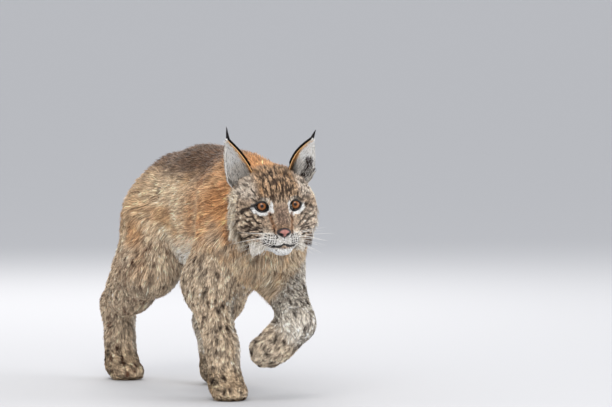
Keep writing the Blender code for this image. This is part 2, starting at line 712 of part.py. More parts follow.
def main():
    clear_scene()
    parts = bpy.data.collections.new("Lynx")
    cutters = bpy.data.collections.new("Cutters")
    for collection in (parts, cutters):
        bpy.context.scene.collection.children.link(collection)
    turn = HEAD_FRAME.to_3x3()
    nape = HEAD_FRAME @ Vector((0, 0.082, 0))
    backward = turn @ Vector((0, 1, -0.35))
    skull = flesh_object("skull", TRUNK[-1:] + HEAD, [], HEAD_VOXEL, parts)
    thin_out(skull, HEAD_TRIANGLES)
    head_solid = cut_plane(skull, nape, -backward, "head")
    bpy.data.objects.remove(skull)
    for side in EYES:
        make_ear(side, head_solid, parts)
    dress_ruff(head_solid)
    cut_face(head_solid, cutters, parts)

    everything = TRUNK + TAIL + HEAD + sum(LEGS.values(), [])
    body = flesh_object("body", everything, list(LEGS), BODY_VOXEL, parts)
    thin_out(body, BODY_TRIANGLES)
    for name in LEGS:
        make_leg(name, cutters, parts)
        boolean(body, leg_cell(*CELLS[name], cutters, GAP), "DIFFERENCE")
    neck_behind = cut_plane(body, nape, backward, "neck_behind")
    bpy.data.objects.remove(body)
    pieces = part_at(neck_behind, [(NECK_BASE, (0, 1, 0.45)), (TAIL_BASE, (0, -1, 0))],
                     ("neck", "tail", "torso"))
    neck, _, torso = pieces
    for other in (head_solid, bpy.data.objects["ear_left"], bpy.data.objects["ear_right"]):
        boolean(other, inflated(neck, GAP), "DIFFERENCE")
    boolean(head_solid, inflated(torso, GAP), "DIFFERENCE")
    paint(parts)
    recentre(parts)
    bpy.data.collections.remove(cutters)


main()
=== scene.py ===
import math

import bmesh
import bpy
import numpy as np
from mathutils import Euler, Matrix, Vector
from mathutils.bvhtree import BVHTree


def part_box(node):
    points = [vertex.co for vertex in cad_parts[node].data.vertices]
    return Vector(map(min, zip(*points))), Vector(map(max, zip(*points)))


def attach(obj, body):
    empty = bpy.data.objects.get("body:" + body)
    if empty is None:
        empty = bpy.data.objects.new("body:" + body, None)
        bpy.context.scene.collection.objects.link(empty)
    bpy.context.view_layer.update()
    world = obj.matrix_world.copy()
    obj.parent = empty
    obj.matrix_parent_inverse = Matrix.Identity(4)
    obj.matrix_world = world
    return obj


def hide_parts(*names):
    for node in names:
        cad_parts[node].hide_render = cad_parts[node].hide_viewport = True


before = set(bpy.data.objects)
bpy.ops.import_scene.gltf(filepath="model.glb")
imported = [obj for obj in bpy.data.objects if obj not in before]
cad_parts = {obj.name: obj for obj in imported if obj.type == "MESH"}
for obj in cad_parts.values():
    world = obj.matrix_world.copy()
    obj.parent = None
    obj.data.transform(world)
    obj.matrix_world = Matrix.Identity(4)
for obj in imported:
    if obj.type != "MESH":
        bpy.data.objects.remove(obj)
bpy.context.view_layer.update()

# Eyeballs
# Two glassy amber balls with a small round pupil, set in the sockets of the skull.
# Everything on the face is placed from the line between their centres.
eye_centre = {}
for side in ("left", "right"):
    low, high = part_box("eye_" + side)
    eye_centre[side] = (low + high) / 2
eye_radius = (high.x - low.x) / 2
eye_line = (eye_centre["left"] + eye_centre["right"]) / 2
head_turn = Euler((math.radians(8.0), math.radians(-2.5), math.radians(-11.0)))
head_matrix = head_turn.to_matrix()
head_axes = np.array(head_matrix)
head_place = Matrix.Translation(eye_line) @ head_matrix.to_4x4()
head_place = head_place @ Matrix.Translation((0, -0.002, 0))
to_head = head_place.inverted()
into_head = np.array(to_head)
gaze = (head_matrix @ Vector((-0.15, -0.96, 0.17))).normalized()
opening_shift = Vector((-0.0022, 0, 0.0008))
opening_centre = {side: to_head @ centre + opening_shift for side, centre in eye_centre.items()}


def in_head(points):
    """Places in the world as places in the head's own frame."""
    return (into_head[:3, :3] @ points.T + into_head[:3, 3:]).T


def linear(red, green, blue):
    """A screen colour from 0 to 255 as the light it stands for."""
    screen = np.array([red, green, blue]) / 255.0
    return np.where(screen <= 0.04045, screen / 12.92, ((screen + 0.055) / 1.055) ** 2.4)


def placed(data, name):
    """A new object of the scene that holds the mesh, curve, lamp or camera."""
    piece = bpy.data.objects.new(name, data)
    bpy.context.scene.collection.objects.link(piece)
    return piece


def object_of(build, name):
    """A smooth object made from a finished bmesh."""
    mesh = bpy.data.meshes.new(name)
    build.to_mesh(mesh)
    build.free()
    mesh.shade_smooth()
    return placed(mesh, name)


def plain_shader(name, roughness, specular=0.5):
    """A new material, its node tree and its shader."""
    material = bpy.data.materials.new(name)
    material.use_nodes = True
    shader = material.node_tree.nodes["Principled BSDF"]
    shader.inputs["Roughness"].default_value = roughness
    shader.inputs["Specular IOR Level"].default_value = specular
    return material, material.node_tree, shader


def texture(tree, kind, scale):
    """A procedural texture laid over the part in metres."""
    place = tree.nodes.new("ShaderNodeTexCoord")
    pattern = tree.nodes.new(kind)
    pattern.inputs["Scale"].default_value = scale
    tree.links.new(place.outputs["Object"], pattern.inputs["Vector"])
    return pattern


def add_bump(tree, shader, height, strength, distance):
    """Raises the surface a little where the height is bright."""
    bump = tree.nodes.new("ShaderNodeBump")
    bump.inputs["Strength"].default_value = strength
    bump.inputs["Distance"].default_value = distance
    tree.links.new(height, bump.inputs["Height"])
    tree.links.new(bump.outputs["Normal"], shader.inputs["Normal"])


def fade(low, high, values):
    """0 at low, 1 at high and straight between them."""
    return np.clip((values - low) / (high - low), 0, 1)


def ramp(low, high, values):
    """0 at low, 1 at high and eased between them."""
    t = fade(low, high, values)
    return t * t * (3 - 2 * t)


eye_glass, tree, shader = plain_shader("amber_eye_glass", 0.12, 0.20)
shader.inputs["Coat Weight"].default_value = 0.35
shader.inputs["Coat Roughness"].default_value = 0.03
eye_map = tree.nodes.new("ShaderNodeUVMap")
eye_map.uv_map = "OFBake"
split = tree.nodes.new("ShaderNodeSeparateXYZ")
tree.links.new(eye_map.outputs["UV"], split.inputs["Vector"])
rings = tree.nodes.new("ShaderNodeValToRGB")
tree.links.new(split.outputs["Y"], rings.inputs["Fac"])
# Colours from the back of the ball at 0, dark up to the iris, to the pupil at 1
stops = (
    (0.0, (14, 10, 9)), (0.735, (12, 8, 7)), (0.760, (60, 32, 18)), (0.795, (112, 68, 36)),
    (0.850, (148, 94, 50)), (0.900, (118, 70, 36)), (0.926, (70, 40, 22)), (0.934, (4, 3, 3)),
)
while len(rings.color_ramp.elements) < len(stops):
    rings.color_ramp.elements.new(0.5)
for element, (position, colour) in zip(rings.color_ramp.elements, stops):
    element.position = position
    element.color = (*linear(*colour), 1.0)
streaks = tree.nodes.new("ShaderNodeTexNoise")
streaks.inputs["Scale"].default_value = 1.0
streaks.inputs["Detail"].default_value = 3.0
stretch = tree.nodes.new("ShaderNodeMapping")
stretch.inputs["Scale"].default_value = (42.0, 5.0, 1.0)
tree.links.new(eye_map.outputs["UV"], stretch.inputs["Vector"])
tree.links.new(stretch.outputs["Vector"], streaks.inputs["Vector"])
fibre = tree.nodes.new("ShaderNodeMix")
fibre.data_type = "RGBA"
fibre.blend_type = "OVERLAY"
fibre.inputs["Factor"].default_value = 0.45
tree.links.new(rings.outputs["Color"], fibre.inputs["A"])
tree.links.new(streaks.outputs["Fac"], fibre.inputs["B"])
tree.links.new(fibre.outputs["Result"], shader.inputs["Base Color"])
for side, centre in eye_centre.items():
    build = bmesh.new()
    build.loops.layers.uv.new("OFBake")
    place = Matrix.Translation(centre) @ gaze.to_track_quat("Z", "Y").to_matrix().to_4x4()
    bmesh.ops.create_uvsphere(
        build, u_segments=48, v_segments=64, radius=eye_radius, matrix=place, calc_uvs=True
    )
    eyeball = object_of(build, "eyeball_" + side)
    eyeball.data.materials.append(eye_glass)
    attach(eyeball, "root")
    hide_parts("eye_" + side)

# Skin under the coat
# One closed hide over all the flesh, drawn from the solids with their seams closed and their
# locks combed away, then sunk below the outline by the depth of the hair that grows on it.
limbs = {
    "head": 0, "neck": 1, "torso": 2, "tail": 3,
    "foreleg_right_upper": 4, "foreleg_right_lower": 5, "forepaw_right": 6,
    "foreleg_left_upper": 7, "foreleg_left_lower": 8, "forepaw_left": 9,
    "hindleg_right_thigh": 10, "hindleg_right_shank": 11, "hindpaw_right": 12,
    "hindleg_left_thigh": 13, "hindleg_left_shank": 14, "hindpaw_left": 15,
}
hide_pitch = 0.0037
lock_thickness = 0.012
cheek_box = ((-0.125, 0.125), (0.012, 0.125), (-0.135, 0.0))
relax_rounds = 170
outline_rounds = 6


def copy_of(nodes, name):
    """The named solids as one mesh, their loose triangles joined."""
    build = bmesh.new()
    for node in nodes:
        build.from_mesh(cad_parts[node].data)
    bmesh.ops.remove_doubles(build, verts=build.verts[:], dist=1e-6)
    return object_of(build, name)


def remeshed(piece, pitch):
    """The piece with its mesh drawn anew as one closed surface of even quads."""
    remesh = piece.modifiers.new("Remesh", "REMESH")
    remesh.mode = "VOXEL"
    remesh.voxel_size = pitch
    bpy.context.view_layer.update()
    graph = bpy.context.evaluated_depsgraph_get()
    mesh = bpy.data.meshes.new_from_object(piece.evaluated_get(graph))
    piece.modifiers.clear()
    piece.data = mesh
    return piece


def read(items, field, width, kind=np.float32):
    """One field of many mesh elements as an array."""
    values = np.empty(len(items) * width, dtype=kind)
    items.foreach_get(field, values)
    return values.reshape(-1, width) if width > 1 else values


def averager(mesh):
    """Gives a function that replaces values on vertices by the mean of their neighbours."""
    edges = read(mesh.edges, "vertices", 2, np.int32)
    start = np.concatenate([edges[:, 0], edges[:, 1]])
    end = np.concatenate([edges[:, 1], edges[:, 0]])
    count = len(mesh.vertices)
    degree = np.maximum(np.bincount(start, minlength=count), 1)

    def average(values):
        columns = [np.bincount(start, values[end, i], count) / degree for i in range(values.shape[1])]
        return np.stack(columns, axis=1)

    return average


# The solids hold the muzzle a little high under the eyes, so nose, mouth and chin sit lower here
face_drop = 0.0070
head_up = head_axes[:, 2]


def dropped(places):
    """Share of the drop at places in the head's own frame: 0 at the eyes, 1 at the nose and below."""
    return ramp(-0.014, -0.034, places[:, 2]) * ramp(0.060, 0.025, places[:, 1])


def raised(places):
    """Places in the head's own frame as they were before the drop."""
    before = places.copy()
    for _ in range(5):
        before[:, 2] = places[:, 2] + face_drop * dropped(before)
    return before


hide = remeshed(copy_of(list(limbs) + ["eye_left", "eye_right", "nose"], "hide"), hide_pitch)
spots_at = read(hide.data.vertices, "co", 3).astype(float)
facing = read(hide.data.vertices, "normal", 3).astype(float)
local = in_head(spots_at)
skull_tree = BVHTree.FromPolygons(spots_at.tolist(), [list(f.vertices) for f in hide.data.polygons])
on_locks = np.zeros(len(spots_at), dtype=bool)
near_cheek = np.ones(len(spots_at), dtype=bool)
for axis, (low_end, high_end) in enumerate(cheek_box):
    near_cheek &= (local[:, axis] > low_end) & (local[:, axis] < high_end)
for index in np.nonzero(near_cheek)[0]:
    start = Vector(spots_at[index] - facing[index] * 0.0005)
    hit = skull_tree.ray_cast(start, Vector(-facing[index]), lock_thickness)
    on_locks[index] = hit[0] is not None
average = averager(hide.data)
loose = on_locks[:, None].astype(float)
for _ in range(3):
    loose = np.maximum(loose, (average(loose) > 0.05) * 1.0)
for _ in range(relax_rounds):
    spots_at = spots_at + loose * (average(spots_at) - spots_at)
hide.data.vertices.foreach_set("co", spots_at.astype(np.float32).ravel())
hide.data.update()
remeshed(hide, hide_pitch)
build = bmesh.new()
build.from_mesh(hide.data)
torso_low, torso_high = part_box("torso")
on_back = (torso_low + torso_high) / 2 + Vector((0, 0, 0.1))
front = [min(build.verts, key=lambda v: (v.co - on_back).length)]
joined = set(front)
while front:
    vertex = front.pop()
    for edge in vertex.link_edges:
        other = edge.other_vert(vertex)
        if other not in joined:
            joined.add(other)
            front.append(other)
bmesh.ops.delete(build, geom=[v for v in build.verts if v not in joined], context="VERTS")
build.to_mesh(hide.data)
build.free()
outline = read(hide.data.vertices, "co", 3).astype(float)
average = averager(hide.data)
local = in_head(outline)
outline = outline - face_drop * dropped(local)[:, None] * head_up
local = in_head(outline)
face_share = fade(0.055, 0.035, np.linalg.norm(local - (0, -0.01, -0.03), axis=1))
for _ in range(outline_rounds):
    outline = outline + 0.5 * (1 - 0.85 * face_share)[:, None] * (average(outline) - outline)
hide.data.vertices.foreach_set("co", outline.astype(np.float32).ravel())
hide.data.update()
facing = read(hide.data.vertices, "normal", 3).astype(float)
for _ in range(3):
    facing = average(facing)
facing /= np.linalg.norm(facing, axis=1)[:, None] + 1e-9
local = in_head(outline)

# Which limb each point of the hide belongs to, softened across the borders
corners = []
owners = []
for node, number in limbs.items():
    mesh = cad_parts[node].data
    places = read(mesh.vertices, "co", 3)
    for polygon in mesh.polygons:
        corners.append(places[list(polygon.vertices)])
        owners.append(number)
flesh_tree = BVHTree.FromPolygons(
    np.concatenate(corners).tolist(), [(3 * i, 3 * i + 1, 3 * i + 2) for i in range(len(corners))]
)
owner = np.array([owners[flesh_tree.find_nearest(Vector(p))[2]] for p in outline])
share = np.eye(len(limbs))[owner]
for _ in range(5):
    share = average(share)

# Length of the hair in millimetres on each limb, head first, tail fourth, and the way it lies
hair_length = np.array([17, 30, 30, 27, 19, 13, 9, 19, 13, 9, 24, 15, 9, 24, 15, 9]) / 1000.0
lie = np.array([
    (0, 1, -0.3), (0, 1, -0.35), (0, 1, -0.28), (0, 0.4, -0.9),
    (0, 0.25, -0.95), (0, 0.12, -1), (0.10, -1, -0.45),
    (0, -0.35, -0.95), (-0.13, -0.85, -0.53), (-0.55, 0.36, -0.75),
    (0, 0.45, -0.9), (0, 0.5, -0.85), (0.08, -1, -0.45),
    (0, 0.45, -0.9), (0, 0.5, -0.85), (-0.08, -1, -0.45),
], dtype=float)
length = share @ hair_length
combed = share @ lie
side_x = np.abs(local[:, 0])
head_share = share[:, 0]
from_nose = np.linalg.norm(local - (0, -0.050, -0.045), axis=1)
face_length = 0.0027 + 0.0063 * fade(0.025, 0.105, from_nose)
crown = fade(0.02, 0.07, local[:, 1])
face_length = face_length + 0.012 * crown
cheek = fade(0.020, 0.036, local[:, 1]) * fade(0.012, -0.008, local[:, 2])
cheek = cheek * fade(0.030, 0.050, side_x) * fade(0.090, 0.070, local[:, 1])
ruff_length = np.where(local[:, 0] < 0, 0.028, 0.022)
face_length = face_length * (1 - cheek) + ruff_length * cheek
throat = fade(-0.075, -0.095, local[:, 2]) * fade(-0.005, 0.025, local[:, 1])
face_length = face_length + 0.014 * throat * (1 - cheek)
length = length * (1 - head_share) + face_length * head_share
belly = np.clip(-facing[:, 2], 0, 1) * share[:, 2]
length = length + 0.010 * belly
front = np.clip(-facing[:, 1], 0, 1) ** 2 * (share[:, 1] + share[:, 2])
combed = combed * (1 - front)[:, None] + front[:, None] * np.array((0, 0.15, -1.0))
# On the face the hair leaves the nose on all sides and turns away from the eyes
away = local - np.array((0, -0.046, -0.040))
away /= np.linalg.norm(away, axis=1)[:, None] + 1e-9
away = away + cheek[:, None] * np.array((0, 0.5, -0.9)) + np.array((0, 0.35, 0))
for centre in eye_centre.values():
    from_eye = local - np.array(to_head @ centre)
    from_eye[:, 1] = 0
    near = np.linalg.norm(from_eye, axis=1)
    pull = 1.6 * fade(0.025, 0.015, near) * (local[:, 1] < 0.02)
    away = away + pull[:, None] * from_eye / (near[:, None] + 1e-9)
away = away @ head_axes.T
combed = combed * (1 - head_share)[:, None] + away * head_share[:, None]
for _ in range(8):
    combed = average(combed)
    length = average(length[:, None])[:, 0]
combed -= (combed * facing).sum(axis=1)[:, None] * facing
combed /= np.linalg.norm(combed, axis=1)[:, None] + 1e-9

# Sink the hide by the depth of its hair and open it at the eyes
sink_share = 0.36
half_wide, half_high = 0.0116, 0.0104
eye_clearance = 0.0006
skin_at = outline - facing * (sink_share * length)[:, None]
for _ in range(3):
    skin_at = 0.5 * skin_at + 0.5 * average(skin_at)
for side, centre in eye_centre.items():
    at_eye = local - np.array(opening_centre[side])
    ahead = (at_eye[:, 1] < 0.0045) & (np.abs(at_eye[:, 0]) < 0.024) & (np.abs(at_eye[:, 2]) < 0.022)
    almond = (at_eye[:, 0] / half_wide) ** 2 + (at_eye[:, 2] / half_high) ** 2
    out = skin_at - np.array(centre)
    reach = np.linalg.norm(out, axis=1)
    inside = ahead & (almond < 1.0)
    around = ahead & (almond >= 1.0) & (reach < eye_radius + eye_clearance)
    skin_at[inside] = np.array(centre) + out[inside] / reach[inside, None] * (eye_radius - 0.0022)
    skin_at[around] = np.array(centre) + out[around] / reach[around, None] * (eye_radius + eye_clearance)
hide.data.vertices.foreach_set("co", skin_at.astype(np.float32).ravel())
hide.data.update()
skin_facing = read(hide.data.vertices, "normal", 3).astype(float)
for _ in range(2):
    skin_facing = average(skin_facing)
skin_facing /= np.linalg.norm(skin_facing, axis=1)[:, None] + 1e-9

# Paths of the hair: from each point of the hide three steps downhill along the lie
skin_faces = [list(face.vertices) for face in hide.data.polygons]
skin_tree = BVHTree.FromPolygons(skin_at.tolist(), skin_faces)
first_corner = np.array([face[0] for face in skin_faces])
path = [skin_at]
path_facing = [skin_facing]
path_lie = combed
for step_share in (0.34, 0.36, 0.30):
    wanted = path[-1] + path_lie * (length * step_share)[:, None]
    found = [skin_tree.find_nearest(Vector(p)) for p in wanted]
    landed = np.array([tuple(f[0]) for f in found])
    corner = first_corner[[f[2] for f in found]]
    path.append(landed)
    path_facing.append(skin_facing[corner])
    path_lie = combed[corner]
steps = []
for landed in path[1:]:
    moved = landed - skin_at
    for _ in range(2):
        moved = average(moved)
    steps.append(moved)

bpy.context.view_layer.objects.active = hide
hide.select_set(True)
bpy.ops.object.mode_set(mode="EDIT")
bpy.ops.mesh.select_all(action="SELECT")
bpy.ops.uv.smart_project(angle_limit=1.15, island_margin=0.002)
bpy.ops.object.mode_set(mode="OBJECT")
hide.data.uv_layers[0].name = "OFBake"

# Markings of the young winter coat
# Grey-buff hair with rust neck and shoulders, dark spots on the legs, white round the eyes
# and muzzle, black lid rims, cheek stripes and ruff patches. Skin and hair share them.
grid_seed = np.array([127.1, 311.7, 74.7])


def lattice(cells, seed):
    """A repeatable number from 0 to 1 for each whole cell."""
    mixed = np.sin(cells @ grid_seed + seed * 37.719) * 43758.5453
    return mixed - np.floor(mixed)


def mottle(points, pitch, seed):
    """Smooth noise from 0 to 1 with blotches about pitch across."""
    place = points / pitch
    cell = np.floor(place)
    within = place - cell
    within = within * within * (3 - 2 * within)
    total = np.zeros(len(points))
    for corner in range(8):
        bits = np.array([corner & 1, corner >> 1 & 1, corner >> 2 & 1])
        weight = np.abs(1 - bits - within).prod(axis=1)
        total += weight * lattice(cell + bits, seed)
    return total


def spotted(points, pitch, size, seed):
    """1 inside scattered round spots, 0 between them."""
    place = points / pitch
    cell = np.floor(place)
    nearest = np.full(len(points), 9.0)
    for corner in range(27):
        shift = np.array([corner % 3 - 1, corner // 3 % 3 - 1, corner // 9 - 1])
        there = cell + shift
        jitter = np.stack([lattice(there, seed + k) for k in range(3)], axis=1)
        nearest = np.minimum(nearest, np.linalg.norm(there + 0.15 + 0.7 * jitter - place, axis=1))
    return np.clip((size - nearest) / 0.12 + 0.5, 0, 1)


def tint(colour, weight, dye):
    """The colour moved towards a dye, given as a screen colour, by the weight."""
    return colour + weight[:, None] * (linear(*dye) - colour)


def painted(ground, coats):
    """A ground colour with coats of dye over it, each with its own weight at every point."""
    colour = np.tile(linear(*ground), (len(coats[0][0]), 1))
    for weight, dye in coats:
        colour = tint(colour, weight, dye)
    return colour


def stroke(across, up, route, half_width, soft=0.0010):
    """1 on a line through points given in millimetres, 0 away from it."""
    nearest = np.full(len(across), 1.0)
    route = np.array(route) / 1000.0
    here = np.stack([across, up], axis=1)
    for start, end in zip(route, route[1:]):
        span = end - start
        t = np.clip((here - start) @ span / (span @ span), 0, 1)
        nearest = np.minimum(nearest, np.linalg.norm(here - start - t[:, None] * span, axis=1))
    return np.clip((half_width / 1000.0 - nearest) / soft + 0.5, 0, 1)


def oval(across, up, centre, radii, soft=0.25):
    """1 inside an oval given in millimetres, falling to 0 at its rim."""
    reach = np.hypot((across * 1000 - centre[0]) / radii[0], (up * 1000 - centre[1]) / radii[1])
    return np.clip((1 - reach) / soft + 0.5, 0, 1)


def round_eyes(across, up, radii, soft, outward=0.0, down=0.0):
    """1 inside an oval at each eye opening, moved outwards and down by millimetres."""
    found = np.zeros(len(across))
    for centre in opening_centre.values():
        middle = (centre.x * 1000 + outward * np.sign(centre.x), centre.z * 1000 - down)
        found = np.maximum(found, oval(across, up, middle, radii, soft))
    return found


def body_marks(points, shares, normals):
    """Colours of neck, trunk, tail and legs, as light; shares has a column for each limb's number."""
    x, y, z = points.T
    trunk = shares[:, 1] + shares[:, 2]
    legs = shares[:, 4:].sum(axis=1)
    fore = shares[:, 4:10].sum(axis=1)
    lifted = shares[:, 7:10].sum(axis=1)
    hind = shares[:, 10:].sum(axis=1)
    paws = shares[:, [6, 9, 12, 15]].sum(axis=1)
    cloud = mottle(points, 0.045, 1)
    streaky = points * np.array((1.5, 0.6, 1.5)) * (1 - legs)[:, None]
    streaky = streaky + points * np.array((1.5, 1.5, 0.6)) * legs[:, None]
    fine = mottle(streaky, 0.0075, 2)
    flow = mottle(streaky, 0.019, 3)
    speck = mottle(streaky * np.array((1.0, 0.8, 1.0)), 0.0040, 4)
    rust = ramp(0.06, -0.22, y + 0.18 * (cloud - 0.5) + 0.12 * (flow - 0.5)) * ramp(0.26, 0.36, z)
    saddle = ramp(0.422, 0.476, z + 0.04 * (flow - 0.5)) * ramp(-0.22, -0.08, y)
    breast = ramp(-0.15, -0.7, normals[:, 1]) * (trunk + 0.6 * fore) * ramp(0.42, 0.34, z)
    throat_pale = breast * ramp(0.22, 0.30, z) * ramp(0.40, 0.33, z) * ramp(0.5, 0.75, cloud)
    inner = ramp(0.25, 0.75, -normals[:, 0] * np.sign(x)) * legs
    colour = painted((216, 190, 158), (
        (0.90 * rust, (176, 122, 74)),
        (0.50 * rust * ramp(0.55, 0.8, flow), (216, 170, 118)),
        (0.55 * ramp(0.45, 0.75, cloud) * (1 - rust), (200, 148, 92)),
        (0.65 * ramp(0.12, 0.24, y) * (1 - rust), (176, 144, 108)),
        (0.92 * saddle, (80, 58, 45)),
        (0.85 * ramp(0.34, 0.26, z) * shares[:, 2], (236, 226, 212)),
        (0.75 * breast, (206, 186, 160)),
        (0.50 * breast * ramp(0.5, 0.75, flow), (196, 140, 84)),
        (0.40 * throat_pale, (214, 196, 168)),
        (0.80 * legs * ramp(0.36, 0.26, z), (200, 180, 156)),
        (0.75 * lifted, (228, 220, 208)),
        (0.45 * hind * ramp(0.2, 0.3, z) * ramp(0.4, 0.7, cloud), (196, 142, 92)),
        (0.60 * inner, (214, 204, 190)),
        (0.60 * paws, (200, 174, 142)),
    ))
    # Spots: large on the legs, small on the paws, faint on the flanks, and a few on the low chest
    warped = points + 0.010 * np.stack([mottle(points, 0.016, k) - 0.5 for k in (71, 72, 73)], axis=1)
    large = spotted(warped * np.array((1.0, 0.75, 0.62)), 0.0165, 0.31, 5)
    large = large * legs * ramp(0.42, 0.30, z) * (1 - 0.6 * inner)
    large_dye = tint(np.tile(linear(44, 29, 22), (len(points), 1)), hind * 0.5, (98, 58, 36))
    colour = colour + (0.98 * large)[:, None] * (large_dye - colour)
    small = spotted(warped * np.array((1.0, 0.9, 0.7)), 0.0105, 0.27, 9)
    small = small * (0.8 * paws + 0.8 * legs + 0.4 * lifted) * ramp(0.36, 0.26, z)
    colour = tint(colour, 0.9 * np.clip(small, 0, 1), (50, 34, 27))
    faint = spotted(warped * np.array((0.8, 0.7, 1.0)), 0.030, 0.26, 12) * trunk * ramp(0.30, 0.36, z)
    colour = tint(colour, 0.42 * faint, (116, 76, 48))
    low_chest = trunk * ramp(0.36, 0.31, z) * ramp(-0.12, -0.18, y)
    chest_spots = spotted(warped * np.array((1.0, 1.0, 0.8)), 0.021, 0.28, 17) * low_chest
    colour = tint(colour, 0.75 * chest_spots, (84, 56, 38))
    colour = tint(colour, 0.95 * shares[:, 3] * ramp(0.350, 0.325, z), (26, 22, 22))
    ticked = 0.38 + 0.54 * ramp(0.28, 0.68, fine) + 0.42 * ramp(0.30, 0.70, speck) + 0.28 * flow
    return colour * ticked[:, None]


# Dark lines of the face: millimetres out from the middle and up from the eyes, then half width
face_lines = (
    (((46, 4), (57, 1), (69, -6), (77, -13)), 2.5), (((64, -4), (78, -13)), 3.8),
    (((58, -2), (54, -10), (46, -17), (36, -20)), 1.5), (((21, -12), (20, -18)), 1.6),
    (((30, 17), (40, 17), (50, 9)), 1.5), (((70, -14), (62, -19), (54, -18)), 1.5),
    (((70, -46), (60, -39), (50, -40)), 1.5), (((60, -28), (50, -35), (42, -38)), 1.3),
    (((56, -18), (47, -25), (35, -30)), 1.6), (((62, -24), (52, -31), (39, -36)), 1.5),
    (((78, -38), (64, -32), (54, -35), (40, -42)), 2.1), (((68, -60), (57, -50), (46, -54)), 2.3),
    (((76, -50), (63, -44), (52, -46)), 1.7), (((82, -27), (70, -23), (61, -27)), 1.7),
    (((18, -34), (18, -42), (13, -49)), 1.4), (((37, 18), (38, 25)), 3.0),
    (((5, 12), (8, 26), (5, 44), (9, 60)), 1.5), (((15, 22), (18, 31), (15, 44), (21, 58)), 1.7),
    (((26, 32), (30, 42), (27, 54)), 1.5), (((50, 13), (60, 21)), 1.5), (((44, 22), (52, 32)), 1.4),
)


